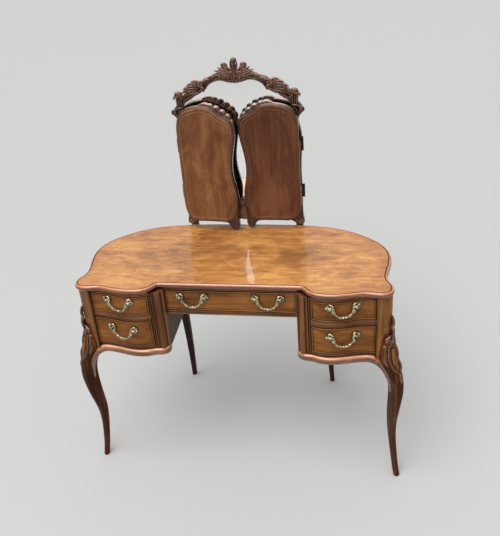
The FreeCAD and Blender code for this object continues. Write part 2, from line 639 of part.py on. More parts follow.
def make_mirror():
    frame = centre_frame()
    opening = whole(CENTRE_INNER)
    glass_y = MIRROR_Y + LIP_T
    save("centre_frame", frame)
    save("mirror_crest", crest(frame))
    save("centre_glass", elevation(widened(opening, REBATE), glass_y, glass_y + GLASS_T))
    save("centre_backboard", elevation(widened(opening, REBATE), glass_y + GLASS_T, MIRROR_Y + MIRROR_T))
    save("mirror_struts", *both(strut()))
    save("strut_screws", *[piece for screw in strut_screws() for piece in both(screw)])
    wings = wing_pieces()
    fixed = [piece for z in HINGE_Z for piece in hinge_leaf(z, False)]
    moving = [piece for z in HINGE_Z for piece in hinge_leaf(z, True)]
    save("fixed_hinge_leaves", *[piece for one in fixed for piece in both(one)])
    for side in SIDES:
        for name, shape in wings.items():
            save("%s_%s" % (side, name), swung(shape, side))
        save("%s_wing_hinges" % side, *[swung(leaf, side) for leaf in moving])


os.makedirs("parts", exist_ok=True)
make_top()
make_carcass()
make_drawers()
make_mirror()
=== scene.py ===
import json
import math

import bmesh
import bpy
import numpy as np
from mathutils import Matrix, Vector


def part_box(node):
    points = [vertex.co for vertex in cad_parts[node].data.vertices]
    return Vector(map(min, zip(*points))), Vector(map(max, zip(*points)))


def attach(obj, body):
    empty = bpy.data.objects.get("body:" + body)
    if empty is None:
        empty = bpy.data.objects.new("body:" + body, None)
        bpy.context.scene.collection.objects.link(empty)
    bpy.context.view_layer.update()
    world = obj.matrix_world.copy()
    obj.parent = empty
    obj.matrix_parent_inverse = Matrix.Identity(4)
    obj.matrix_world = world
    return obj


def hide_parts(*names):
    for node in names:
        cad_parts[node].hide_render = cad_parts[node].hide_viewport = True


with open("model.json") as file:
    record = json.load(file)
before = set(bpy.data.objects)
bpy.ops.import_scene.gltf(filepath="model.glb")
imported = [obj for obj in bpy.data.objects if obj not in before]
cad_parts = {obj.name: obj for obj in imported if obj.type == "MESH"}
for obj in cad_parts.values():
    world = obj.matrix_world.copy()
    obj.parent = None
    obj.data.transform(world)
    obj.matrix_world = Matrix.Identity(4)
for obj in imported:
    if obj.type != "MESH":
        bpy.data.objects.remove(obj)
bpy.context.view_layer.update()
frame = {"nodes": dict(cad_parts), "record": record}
NODES = frame["nodes"]

# The pieces are drawn in millimetres with y = 0 at the tips of the top's front ears, as in the CAD.
# RECESS_Y is the face of the centre drawer there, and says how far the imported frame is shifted.
RECESS_Y = 19.0
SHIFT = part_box("centre_drawer_front")[0].y * 1000 - RECESS_Y


# ---- curves -----------------------------------------------------------------------------------
def smooth(points, per=6, closed=False):
    """Points along a smooth curve through the given rows, with the same number between each two."""
    pts = np.array(points, float)
    if closed:
        pts = np.vstack([pts, pts[:1]])
    gaps = np.maximum(np.linalg.norm(np.diff(pts, axis=0), axis=1), 1e-6)
    n = len(pts)
    a, b = np.zeros((n, n)), np.zeros_like(pts)
    for i in range(1, n - 1):
        a[i, i - 1], a[i, i + 1] = 1 / gaps[i - 1], 1 / gaps[i]
        a[i, i] = 2 / gaps[i - 1] + 2 / gaps[i]
        b[i] = 3 * ((pts[i] - pts[i - 1]) / gaps[i - 1] ** 2 + (pts[i + 1] - pts[i]) / gaps[i] ** 2)
    if closed:
        a[0, 0], a[0, 1], a[0, n - 2] = 2 / gaps[0] + 2 / gaps[-1], 1 / gaps[0], 1 / gaps[-1]
        b[0] = 3 * ((pts[1] - pts[0]) / gaps[0] ** 2 + (pts[0] - pts[n - 2]) / gaps[-1] ** 2)
        a[-1, 0], a[-1, -1] = 1, -1
    else:
        a[0, 0], a[0, 1], a[-1, -1], a[-1, -2] = 2, 1, 2, 1
        b[0] = 3 * (pts[1] - pts[0]) / gaps[0]
        b[-1] = 3 * (pts[-1] - pts[-2]) / gaps[-1]
    slope = np.linalg.solve(a, b)
    out = []
    for i in range(n - 1):
        for t in np.arange(per) / per:
            out.append((1 + 2 * t) * (1 - t) ** 2 * pts[i] + t * (1 - t) ** 2 * gaps[i] * slope[i]
                       + t * t * (3 - 2 * t) * pts[i + 1] - t * t * (1 - t) * gaps[i] * slope[i + 1])
    if not closed:
        out.append(pts[-1])
    return np.array(out)


def even(points, count, closed=False):
    """The same polyline with points at even distances."""
    pts = np.array(points, float)
    if closed:
        pts = np.vstack([pts, pts[:1]])
    run = np.concatenate([[0], np.cumsum(np.linalg.norm(np.diff(pts, axis=0), axis=1))])
    where = np.linspace(0, run[-1], count + 1)[:-1] if closed else np.linspace(0, run[-1], count)
    return np.stack([np.interp(where, run, pts[:, k]) for k in range(pts.shape[1])], axis=1)


def offset(points, distance, closed=False):
    """Plan or elevation points moved sideways, to the right of the way the list runs."""
    pts = np.array(points, float)
    ahead = np.roll(pts, -1, axis=0)
    behind = np.roll(pts, 1, axis=0)
    if not closed:
        ahead[-1], behind[0] = pts[-1], pts[0]
    run = ahead - behind
    run /= np.linalg.norm(run, axis=1)[:, None]
    return pts + distance * np.stack([run[:, 1], -run[:, 0]], axis=1)


def left_of(points):
    return [(-p[0],) + tuple(p[1:]) for p in points]


def whole(half):
    """Closed outline from its right half, which runs from the middle to the middle."""
    return half + left_of(half[1:-1])[::-1]


def clamp(value):
    return min(max(value, 0), 1)


def unit(v):
    v = np.array(v, float)
    return v / np.linalg.norm(v, axis=-1, keepdims=True)


# ---- meshes -----------------------------------------------------------------------------------
class Solid:
    """Vertices and faces gathered for one piece."""

    def __init__(self):
        self.verts, self.faces = [], []

    def grid(self, rows, round_rows=False, round_columns=False, caps=False):
        rows = np.array(rows, float)
        n, m = rows.shape[:2]
        base = len(self.verts)
        self.verts += [tuple(p) for p in rows.reshape(-1, 3)]
        for i in range(n if round_rows else n - 1):
            for j in range(m if round_columns else m - 1):
                i2, j2 = (i + 1) % n, (j + 1) % m
                corners = (i, j), (i, j2), (i2, j2), (i2, j)
                self.faces.append([base + row * m + column for row, column in corners])
        if caps:
            self.faces.append([base + j for j in range(m)])
            self.faces.append([base + (n - 1) * m + j for j in range(m)])
        return self

    def add(self, other, move=None):
        base = len(self.verts)
        verts = np.array(other.verts, float)
        if move:
            verts = move(verts)
        self.verts += [tuple(p) for p in verts]
        self.faces += [[base + k for k in face] for face in other.faces]
        return self


def upright(plan, heights):
    """Closed post with the same plan at every height."""
    return Solid().grid([[(x, y, z) for x, y in plan] for z in heights], False, True, True)


def mirror(verts):
    return verts * np.array([-1.0, 1.0, 1.0])


def build(name, solid, body, finish, stands_for=(), crease=38, move=None):
    """Make the piece's object, with its normals outward and its sharp edges kept."""
    verts = np.array(solid.verts, float)
    if move:
        verts = move(verts)
    verts[:, 1] += SHIFT
    mesh = bpy.data.meshes.new(name)
    mesh.from_pydata((verts / 1000).tolist(), [], [list(f) for f in solid.faces])
    work = bmesh.new()
    work.from_mesh(mesh)
    bmesh.ops.remove_doubles(work, verts=work.verts, dist=0.00001)
    bmesh.ops.recalc_face_normals(work, faces=work.faces)
    work.to_mesh(mesh)
    work.free()
    mesh.materials.append(MATERIALS[finish])
    mesh.shade_smooth()
    mesh.set_sharp_from_angle(angle=math.radians(crease))
    piece = bpy.data.objects.new(name, mesh)
    bpy.context.scene.collection.objects.link(piece)
    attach(piece, body)
    if stands_for:
        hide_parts(*stands_for)
    return piece


def tube(solid, path, radii, normal=(0, 1, 0), flat=1.0, sides=10, caps=True):
    """Round or flattened bar along a path; normal is the direction that flat squashes."""
    path = np.array(path, float)
    radii = np.interp(np.linspace(0, 1, len(path)), np.linspace(0, 1, len(radii)), radii)
    ahead = np.gradient(path, axis=0)
    ahead = unit(ahead)
    n = np.array(normal, float)
    if n.ndim == 1:
        n = np.tile(n, (len(path), 1))
    side = unit(np.cross(ahead, n))
    n = unit(np.cross(side, ahead))
    angles = np.linspace(0, 2 * math.pi, sides, endpoint=False)
    rows = [[p + r * (math.cos(a) * s + flat * math.sin(a) * m) for a in angles]
            for p, r, s, m in zip(path, radii, side, n)]
    solid.grid(rows, round_columns=True, caps=caps)
    return solid


def leaf(solid, path, normal, width, height, base=0.4, vein=0.35, count=14, across=8, thick=1.0,
         lobes=0, peak=0.45):
    """Carved lobe along a path: crowned across, with a vein down its middle, narrowing to a tip."""
    path = even(smooth(path, 8), count)
    n = np.array(normal, float)
    n = even(smooth(n, 8), count) if n.ndim == 2 else np.tile(n, (count, 1))
    ahead = unit(np.gradient(path, axis=0))
    side = unit(np.cross(ahead, n))
    n = unit(np.cross(side, ahead))
    spread = np.linspace(-1, 1, across + 1)
    crown = [math.sqrt(max(1 - u * u, 0)) - vein * math.exp(-(u / 0.2) ** 2) for u in spread]
    rows = []
    for i in range(count):
        t = i / (count - 1)
        if t < peak:
            w = base + (1 - base) * math.sin(math.pi / 2 * t / peak)
        else:
            w = max(math.cos(math.pi / 2 * (t - peak) / (1 - peak)), 0) ** 0.75
        if lobes:
            w *= 1 - 0.22 * abs(math.sin(math.pi * lobes * t)) * (0.3 + 0.7 * t)
        w = max(w * width, 0.25)
        h = height * (0.55 + 0.45 * math.sin(math.pi * min(t * 1.15, 1)))
        top = [path[i] + side[i] * w * u + n[i] * h * c for u, c in zip(spread, crown)]
        under = [path[i] - side[i] * w * u * 0.8 - n[i] * thick for u in spread[1:-1]]
        rows.append(top + under)
    solid.grid(rows, round_columns=True, caps=True)
    return solid


def scroll(solid, centre, start, turns, r_out, r_in, thick, normal, right, up, flat=1.0, tail=()):
    """Volute that winds from an outer radius to a knob at its eye."""
    count = max(int(18 * abs(turns)), 12)
    centre, right, up = (np.array(v, float) for v in (centre, right, up))
    path = [np.array(p, float) for p in tail]
    for k in range(count + 1):
        t = k / count
        angle = start + 2 * math.pi * turns * t
        radius = r_out + (r_in - r_out) * t ** 0.8
        path.append(centre + radius * (math.cos(angle) * right + math.sin(angle) * up))
    tube(solid, path, [thick * 0.75, thick, thick * 0.8, thick * 0.7], normal, flat, 10)
    dome(solid, centre, normal, r_in * 0.95, thick * 1.2)
    return solid


def dome(solid, centre, normal, radius, height, sides=14, rings=5, back=0.0):
    """Half-round button on a face, closed at its back."""
    n = unit(normal)
    side = unit(np.cross(n, (0.13, 0.24, 0.97)))
    other = np.cross(n, side)
    angles = np.linspace(0, 2 * math.pi, sides, endpoint=False)
    rows = []
    for k in range(rings + 1):
        a = math.pi / 2 * k / rings
        r, h = max(radius * math.cos(a), 0.05), height * math.sin(a)
        rows.append([centre + r * (math.cos(b) * side + math.sin(b) * other) + n * h for b in angles])
    if back:
        rows.insert(0, [p - n * back for p in rows[0]])
    solid.grid(rows, round_columns=True, caps=True)
    return solid


# ---- materials --------------------------------------------------------------------------------
class Graph:
    """Short calls for a material's nodes."""

    def __init__(self, name):
        self.material = bpy.data.materials.new(name)
        self.material.use_nodes = True
        self.tree = self.material.node_tree
        self.shader = self.tree.nodes["Principled BSDF"]
        self.where = self.add("ShaderNodeTexCoord").outputs["Object"]

    def add(self, kind, **settings):
        node = self.tree.nodes.new(kind)
        for key, value in settings.items():
            setattr(node, key, value)
        return node

    def feed(self, socket, value):
        if isinstance(value, bpy.types.NodeSocket):
            self.tree.links.new(value, socket)
        else:
            socket.default_value = value

    def noise(self, scale, detail=4.0, rough=0.55, warp=0.0, stretch=(1, 1, 1), turn=(0, 0, 0)):
        place = self.add("ShaderNodeMapping")
        self.feed(place.inputs["Vector"], self.where)
        place.inputs["Scale"].default_value = stretch
        place.inputs["Rotation"].default_value = turn
        node = self.add("ShaderNodeTexNoise")
        self.feed(node.inputs["Vector"], place.outputs[0])
        node.inputs["Scale"].default_value = scale
        node.inputs["Detail"].default_value = detail
        node.inputs["Roughness"].default_value = rough
        node.inputs["Distortion"].default_value = warp
        return node.outputs["Fac"]

    def math(self, kind, a, b=0.0):
        node = self.add("ShaderNodeMath", operation=kind)
        self.feed(node.inputs[0], a)
        self.feed(node.inputs[1], b)
        return node.outputs[0]

    def times(self, a, b):
        return self.math("MULTIPLY", a, b)

    def plus(self, a, b):
        return self.math("ADD", a, b)

    def span(self, value, low, high, to_low=0.0, to_high=1.0):
        node = self.add("ShaderNodeMapRange")
        for key, what in zip(range(5), (value, low, high, to_low, to_high)):
            self.feed(node.inputs[key], what)
        return node.outputs[0]

    def ramp(self, value, *stops):
        node = self.add("ShaderNodeValToRGB")
        self.feed(node.inputs[0], value)
        band = node.color_ramp
        while len(band.elements) < len(stops):
            band.elements.new(0.5)
        for element, (place, colour) in zip(band.elements, stops):
            element.position = place
            element.color = (*colour, 1)
        return node.outputs[0]

    def mix(self, factor, a, b, kind="MIX"):
        node = self.add("ShaderNodeMix", data_type="RGBA", blend_type=kind)
        self.feed(node.inputs[0], factor)
        for socket, value in ((node.inputs[6], a), (node.inputs[7], b)):
            self.feed(socket, value if isinstance(value, bpy.types.NodeSocket) else (*value, 1))
        return node.outputs[2]

    def crevice(self, distance, inside=False):
        node = self.add("ShaderNodeAmbientOcclusion", samples=5, inside=inside)
        node.inputs["Distance"].default_value = distance
        return node.outputs["AO"]

    def bump(self, height, strength, distance):
        node = self.add("ShaderNodeBump")
        self.feed(node.inputs["Height"], height)
        node.inputs["Strength"].default_value = strength
        node.inputs["Distance"].default_value = distance
        self.feed(self.shader.inputs["Normal"], node.outputs[0])

    def set(self, **values):
        for key, value in values.items():
            self.feed(self.shader.inputs[key.replace("_", " ").title().replace("Ior", "IOR")], value)
        return self.material


def shade(colour, factor):
    return tuple(min(c * factor, 1.0) for c in colour)


def wood(name, dark, middle, light, grain="X", rough=(0.34, 0.5), coat=0.1, coat_rough=0.22, figure=0.5,
         pores=0.28, dirt_and_shade=0.0, dirt_and_shade_reach=0.008, wear=0.0, wear_colour=None, streak=80, blotch=7.0,
         specular=0.14, fade=None, top_light_from=0.3, turn=(0, 0, 0)):
    """Grained timber: long streaks, cloudy figure, fine pores, worn edges, dirt and painted shade in its
    hollows, and a painted highlight on the faces that look upwards.
    """
    g = Graph(name)
    along = {"X": (0.05, 1, 1), "Y": (1, 0.05, 1), "Z": (1, 1, 0.05)}[grain]
    drift = {"X": (0.45, 1, 1), "Y": (1, 0.45, 1), "Z": (1, 1, 0.45)}[grain]
    long = g.noise(streak, 6, 0.6, 0.35, along, turn)
    cloud = g.noise(blotch, 4, 0.6, 1.2, drift)
    fibre = g.noise(900, 2, 0.5, 0.0, tuple(part / 2 if part < 1 else 1 for part in along), turn)
    tone = g.plus(g.times(long, 1 - figure), g.times(cloud, figure))
    colour = g.ramp(tone, (0.36, dark), (0.49, middle), (0.62, light))
    pore = g.span(fibre, 0.56, 0.74)
    colour = g.mix(g.times(pore, pores), colour, shade(dark, 0.45))
    if fade:
        # Painted highlight: the faces that look upwards are painted lighter, as if lit from above.
        up = g.add("ShaderNodeSeparateXYZ")
        g.feed(up.inputs[0], g.add("ShaderNodeNewGeometry").outputs["Normal"])
        upward = g.plus(up.outputs["Z"], g.times(cloud, 0.3))
        painted_top_light = g.span(upward, top_light_from, top_light_from + 0.75)
        colour = g.mix(painted_top_light, colour, fade)
    if wear:
        edge = g.span(g.crevice(0.003, True), 0.55, 0.95, 1.0, 0.0)
        colour = g.mix(g.times(edge, wear), colour, wear_colour or shade(light, 1.5))
    # Dirt and painted shade: hollows, creases and the joins between parts are painted darker through an
    # occlusion mask.
    if dirt_and_shade:
        shut = g.span(g.crevice(dirt_and_shade_reach), 0.35, 0.95, 1.0, 0.0)
        colour = g.mix(g.times(shut, dirt_and_shade), colour, shade(dark, 0.22))
    g.bump(g.math("SUBTRACT", g.times(long, 0.4), pore), 0.25, 0.0003)
    return g.set(base_color=colour, roughness=g.span(tone, 0.3, 0.7, rough[0], rough[1]),
                 coat_weight=coat, coat_roughness=coat_rough, specular_ior_level=specular)


def metal(name, bright, tarnish, rough=(0.24, 0.5), patches=120):
    """Aged brass or steel: bright on its high parts, dull and dark in its hollows."""
    g = Graph(name)
    cloud = g.noise(patches, 5, 0.6, 0.3)
    shut = g.span(g.crevice(0.006), 0.45, 0.98, 1.0, 0.0)
    dull = g.math("MAXIMUM", shut, g.span(cloud, 0.46, 0.66))
    g.bump(g.noise(700, 3), 0.2, 0.0003)
    return g.set(base_color=g.mix(dull, bright, tarnish), metallic=0.92,
                 roughness=g.span(dull, 0, 1, rough[0], rough[1]))


def table_top(name):
    """Figured golden veneer, darker towards its edge and marked by age."""
    g = Graph(name)
    ripple = g.noise(27, 8, 0.72, 1.6, (0.36, 1, 1), (0, 0, 0.06))
    streaks = g.noise(110, 6, 0.68, 0.5, (0.09, 1, 1), (0, 0, 0.04))
    cloud = g.noise(4.6, 4, 0.6, 1.4, (0.6, 1, 1))
    tone = g.plus(g.plus(g.times(ripple, 0.42), g.times(streaks, 0.26)), g.times(cloud, 0.32))
    colour = g.ramp(tone, (0.37, (0.14, 0.05, 0.015)), (0.45, (0.32, 0.125, 0.034)),
                    (0.52, (0.47, 0.205, 0.055)), (0.62, (0.62, 0.33, 0.11)))
    rim = g.add("ShaderNodeAttribute", attribute_name="rim").outputs["Fac"]
    edge = g.span(g.plus(rim, g.times(g.noise(22, 4), 0.03)), 0.012, 0.05, 1.0, 0.0)
    colour = g.mix(g.times(edge, 0.35), colour, (0.36, 0.12, 0.038))
    # Old darkening of the middle of the top, away from its rim.
    stain = g.plus(g.noise(7.5, 5, 0.65, 0.6, (0.8, 1, 1)), g.span(rim, 0.09, 0.21, -0.14, 0.1))
    colour = g.mix(g.span(stain, 0.45, 0.66, 0.0, 0.75), colour, (0.18, 0.066, 0.021))
    pore = g.span(g.noise(900, 2, 0.5, 0.0, (0.02, 1, 1)), 0.58, 0.74)
    colour = g.mix(g.times(pore, 0.3), colour, (0.08, 0.028, 0.009))
    marks = g.span(g.noise(42, 6, 0.72, 0.8), 0.6, 0.72)
    colour = g.mix(g.times(marks, 0.45), colour, (0.14, 0.05, 0.017))
    g.bump(g.math("SUBTRACT", g.times(streaks, 0.4), pore), 0.12, 0.0002)
    return g.set(base_color=colour, roughness=g.span(cloud, 0.3, 0.7, 0.26, 0.4), coat_weight=0.8,
                 coat_roughness=0.06, specular_ior_level=0.35)


def mirror_glass(name):
    g = Graph(name)
    smear = g.noise(14, 5, 0.6, 0.8)
    spots = g.span(g.noise(160, 2), 0.72, 0.8)
    silver = g.ramp(smear, (0.3, (0.93, 0.93, 0.925)), (0.7, (0.88, 0.88, 0.875)))
    colour = g.mix(spots, silver, (0.45, 0.42, 0.38))
    g.bump(g.noise(6, 1), 0.02, 0.0005)
    return g.set(base_color=colour, metallic=1.0, roughness=g.span(smear, 0.35, 0.75, 0.015, 0.06))


# What the two polished mouldings share, and what the wings' two backboards share.
POLISH = {"rough": (0.22, 0.32), "coat": 0.85, "coat_rough": 0.15, "figure": 0.4, "dirt_and_shade": 0.98,
          "dirt_and_shade_reach": 0.009, "wear": 0.35, "wear_colour": (0.6, 0.29, 0.16), "specular": 0.4}
BOARD = {"figure": 0.62, "dirt_and_shade": 0.6, "dirt_and_shade_reach": 0.004, "blotch": 16, "streak": 60}
MATERIALS = {
    "top": table_top("walnut top"),
    # The fade colours of the moulded edge and the foot bead are painted highlights on their upper halves.
    "edge": wood("moulded edge",
        (0.06, 0.016, 0.0055), (0.125, 0.037, 0.0125), (0.23, 0.077, 0.027), "X", **POLISH,
        fade=(0.66, 0.3, 0.165), top_light_from=0.46),
    "bead": wood("foot bead",
        (0.06, 0.016, 0.0055), (0.13, 0.039, 0.0135), (0.25, 0.085, 0.03), "X", **POLISH,
        fade=(0.72, 0.345, 0.18), top_light_from=0.38),
    "drawer": wood("drawer walnut",
        (0.085, 0.028, 0.0055), (0.17, 0.062, 0.0125), (0.27, 0.108, 0.025), "X",
        (0.36, 0.5), coat=0.06, figure=0.5, dirt_and_shade=0.95, dirt_and_shade_reach=0.009, wear=0.2, blotch=10),
    "case": wood("case walnut",
        (0.1, 0.035, 0.008), (0.205, 0.08, 0.0185), (0.34, 0.145, 0.037), "Z",
        (0.34, 0.5), coat=0.08, figure=0.4, dirt_and_shade=0.97, dirt_and_shade_reach=0.012, wear=0.2),
    "column": wood("column walnut",
        (0.055, 0.018, 0.006), (0.11, 0.04, 0.012), (0.2, 0.08, 0.024), "Z",
        (0.34, 0.5), coat=0.1, figure=0.4, dirt_and_shade=0.98, dirt_and_shade_reach=0.012, wear=0.4,
        wear_colour=(0.3, 0.14, 0.055)),
    "rail": wood("rail walnut",
        (0.055, 0.018, 0.006), (0.12, 0.042, 0.013), (0.21, 0.08, 0.026), "X",
        (0.32, 0.46), coat=0.12, figure=0.4, dirt_and_shade=0.97, dirt_and_shade_reach=0.009, wear=0.45,
        wear_colour=(0.34, 0.17, 0.08)),
    "leg": wood("leg walnut",
        (0.02, 0.0052, 0.0017), (0.048, 0.0143, 0.0046), (0.125, 0.041, 0.0115), "Z",
        (0.28, 0.42), coat=0.06, coat_rough=0.08, figure=0.45, dirt_and_shade=0.95, dirt_and_shade_reach=0.012, wear=0.45,
        wear_colour=(0.32, 0.12, 0.04), specular=0.05),
    "back leg": wood("back leg walnut",
        (0.013, 0.005, 0.0024), (0.024, 0.0095, 0.0045), (0.045, 0.018, 0.008), "Z",
        (0.45, 0.6), coat=0.0, figure=0.45, specular=0.1),
    # The fade colour of the carving is a painted highlight on its upward faces.
    "carved": wood("carved walnut",
        (0.014, 0.0045, 0.0028), (0.032, 0.011, 0.0062), (0.078, 0.029, 0.0155), "Z",
        (0.2, 0.32), coat=0.5, coat_rough=0.12, figure=0.45, dirt_and_shade=1.0, dirt_and_shade_reach=0.018, wear=0.6,
        wear_colour=(0.34, 0.165, 0.1), specular=0.3, fade=(0.42, 0.23, 0.17), top_light_from=0.72),
    # The right backboard is the left one's timber painted darker, as painted shade on that wing.
    "left board": wood("left backboard",
        (0.1, 0.036, 0.0115), (0.155, 0.06, 0.021), (0.235, 0.1, 0.038), "Z",
        (0.4, 0.55), **BOARD,
        wear=0.6, wear_colour=(0.45, 0.26, 0.17), turn=(0, 0.14, 0)),
    "right board": wood("shaded right backboard",
        (0.06, 0.018, 0.0068), (0.094, 0.0305, 0.0118), (0.136, 0.049, 0.02), "Z",
        (0.38, 0.52), **BOARD,
        wear=0.5, wear_colour=(0.34, 0.17, 0.11), turn=(0, 0.18, 0)),
    "plain": wood("plain timber",
        (0.11, 0.07, 0.043), (0.16, 0.105, 0.067), (0.21, 0.142, 0.094), "Z",
        (0.55, 0.75), coat=0.0, figure=0.3, pores=0.2, dirt_and_shade=0.6),
    "inner side": wood("unfinished side",
        (0.05, 0.032, 0.022), (0.085, 0.056, 0.04), (0.13, 0.09, 0.066), "Y",
        (0.5, 0.7), coat=0.0, figure=0.5, pores=0.35),
    "drawer timber": wood("drawer lining",
        (0.2, 0.12, 0.06), (0.32, 0.2, 0.105), (0.44, 0.29, 0.16), "X",
        (0.5, 0.7), coat=0.0, figure=0.4, pores=0.35),
    "brass": metal("antique brass", (0.62, 0.54, 0.36), (0.045, 0.036, 0.02)),
    "hinge": metal("blackened brass", (0.1, 0.075, 0.045), (0.025, 0.02, 0.015), (0.4, 0.6)),
    "steel": metal("dull steel", (0.3, 0.28, 0.25), (0.06, 0.05, 0.045)),
    "mirror": mirror_glass("silvered glass"),
}
SLOT_MATERIALS = {"walnut_top": "top", "walnut_edge": "edge", "walnut_leg": "leg", "walnut_dark": "back leg",
                  "walnut_case": "case", "plain_timber": "plain", "walnut_carved": "carved",
                  "mirror_glass": "mirror", "steel": "steel", "antique_brass": "brass",
                  "walnut_drawer": "drawer", "drawer_timber": "drawer timber", "left_board": "left board",
                  "right_board": "right board"}
FINISH_SLOTS = {finish: slot for slot, finish in SLOT_MATERIALS.items()}
FINISH_SLOTS |= {"bead": "walnut_edge", "column": "walnut_case", "rail": "walnut_case"}


def dress_nodes():
    """Every CAD node that is shown takes the detailed material of its slot."""
    for entry in frame["record"]["subparts"]:
        finish = MATERIALS[SLOT_MATERIALS[entry["material_slot"]]]
        if entry["node"].startswith("inner_side"):
            finish = MATERIALS["inner side"]
        if "hinge" in entry["node"]:
            finish = MATERIALS["hinge"]
        node = NODES[entry["node"]]
        if not node.material_slots:
            node.data.materials.append(finish)
        for held in node.material_slots:
            held.material = finish


# ---- stage ------------------------------------------------------------------------------------
def make_stage():
    scene = bpy.context.scene
    scene.view_settings.view_transform = "Standard"
    world = bpy.data.worlds.new("studio")
    world.use_nodes = True
    # A studio ceiling: pale overhead and dimmer towards the horizon.
    tree = world.node_tree
    aim = tree.nodes.new("ShaderNodeTexCoord")
    split = tree.nodes.new("ShaderNodeSeparateXYZ")
    ramp = tree.nodes.new("ShaderNodeValToRGB")
    tree.links.new(aim.outputs["Generated"], split.inputs[0])
    tree.links.new(split.outputs["Z"], ramp.inputs[0])
    tree.links.new(ramp.outputs[0], tree.nodes["Background"].inputs["Color"])
    sky = (0.05, (0.16, 0.16, 0.16, 1)), (0.75, (1.0, 0.995, 0.98, 1))
    for element, (height, colour) in zip(ramp.color_ramp.elements, sky):
        element.position, element.color = height, colour
    tree.nodes["Background"].inputs["Strength"].default_value = 1.0
    scene.world = world

    reach = 60.0
    mesh = bpy.data.meshes.new("floor")
    mesh.from_pydata([(-reach, -reach, 0), (reach, -reach, 0), (reach, reach, 0), (-reach, reach, 0)], [],
                     [(0, 1, 2, 3)])
    floor = bpy.data.objects.new("floor", mesh)
    scene.collection.objects.link(floor)
    g = Graph("pale floor")
    mesh.materials.append(g.set(base_color=(0.437, 0.44, 0.444, 1), roughness=0.9, specular_ior_level=0.1))

    sun = bpy.data.lights.new("sky light", "SUN")
    sun.energy, sun.angle, sun.color = 2.3, math.radians(48), (1.0, 0.99, 0.97)
    holder = bpy.data.objects.new("sky light", sun)
    holder.rotation_euler = (math.radians(24), math.radians(-12), 0)
    scene.collection.objects.link(holder)

    panel = bpy.data.lights.new("front window", "AREA")
    panel.shape, panel.size, panel.size_y, panel.energy = "RECTANGLE", 2.4, 1.5, 34
    panel.color = (1.0, 0.98, 0.96)
    holder = bpy.data.objects.new("front window", panel)
    holder.location = (-0.35, -3.2, 2.7)
    aim = Vector((0, 0.1, 0.8)) - holder.location
    holder.rotation_euler = aim.to_track_quat("-Z", "Y").to_euler()
    scene.collection.objects.link(holder)


# The camera's place in metres and its angles: it stands above the table's front right and looks
# down. The lens is in millimetres on its sensor, and its shift is in parts of the picture's height.
CAMERA_AT = (0.40167, -1.77183, 1.92048)
PITCH, YAW, ROLL = 1.061913, 0.235051, -0.105347
SENSOR, LENS, LENS_SHIFT = 36.0, 48.010903, (0.06502799, -0.04341791)


def make_camera():
    data = bpy.data.cameras.new("camera")
    data.sensor_width, data.sensor_fit = SENSOR, "AUTO"
    data.lens, data.shift_x, data.shift_y = LENS, *LENS_SHIFT
    data.clip_end = 300
    camera = bpy.data.objects.new("camera", data)
    turn = (Matrix.Rotation(YAW, 4, "Z") @ Matrix.Rotation(PITCH, 4, "X")
            @ Matrix.Rotation(ROLL, 4, "Z"))
    x, y, z = CAMERA_AT
    camera.matrix_world = Matrix.Translation((x, y + SHIFT / 1000, z)) @ turn
    bpy.context.scene.collection.objects.link(camera)
    bpy.context.scene.camera = camera


# ---- outlines, as in the CAD ------------------------------------------------------------------
TABLE_H, UNDER_TOP = 760.0, 738.0
# Posts end just under the top, and the one at each back leg stands here: x, y, half its width.
POST_TOP, BACK_POST = UNDER_TOP - 0.1, (262, 360, 16)
FACADE = [(249, -17), (272, -25), (300, -29), (330, -26), (365, -17.5), (400, -10), (442, -6)]
COLUMN_BOW = [(206, 19), (208, 3), (217, -9), (232, -15), (249, -17)]
RECESS_EDGE = (223, 7)
TOP_EDGE = [(229, -2), (240, -16), (260, -29), (290, -35), (337, -33), (383, -23), (417, -18),
            (445, -22), (468, -20), (483, -10), (490, 4), (491, 16), (488, 32), (479, 50), (474, 66),
            (476, 100), (483, 140), (487, 178), (484, 215), (472, 250), (450, 284), (417, 316),
            (385, 341), (340, 366), (283, 386), (217, 397), (120, 402), (0, 403)]
# Height, x, y, half the depth out towards the corner, half the width across it.
LEG_LINE = [(0, 519, 19, 9, 9), (14, 516.5, 21, 9.5, 9), (45, 512, 26, 10, 9), (90, 507, 29, 11, 9),
            (150, 501, 31, 13, 9), (220, 497, 25, 17, 9.5), (290, 498, 10, 22, 10),
            (350, 502, 2, 25.5, 11.5), (400, 504, 0, 27.5, 14.5), (440, 499, -1, 27.5, 20),
            (480, 487, 1, 28, 26), (515, 474, 5, 29, 29)]
LEG_ROUNDING = 0.75
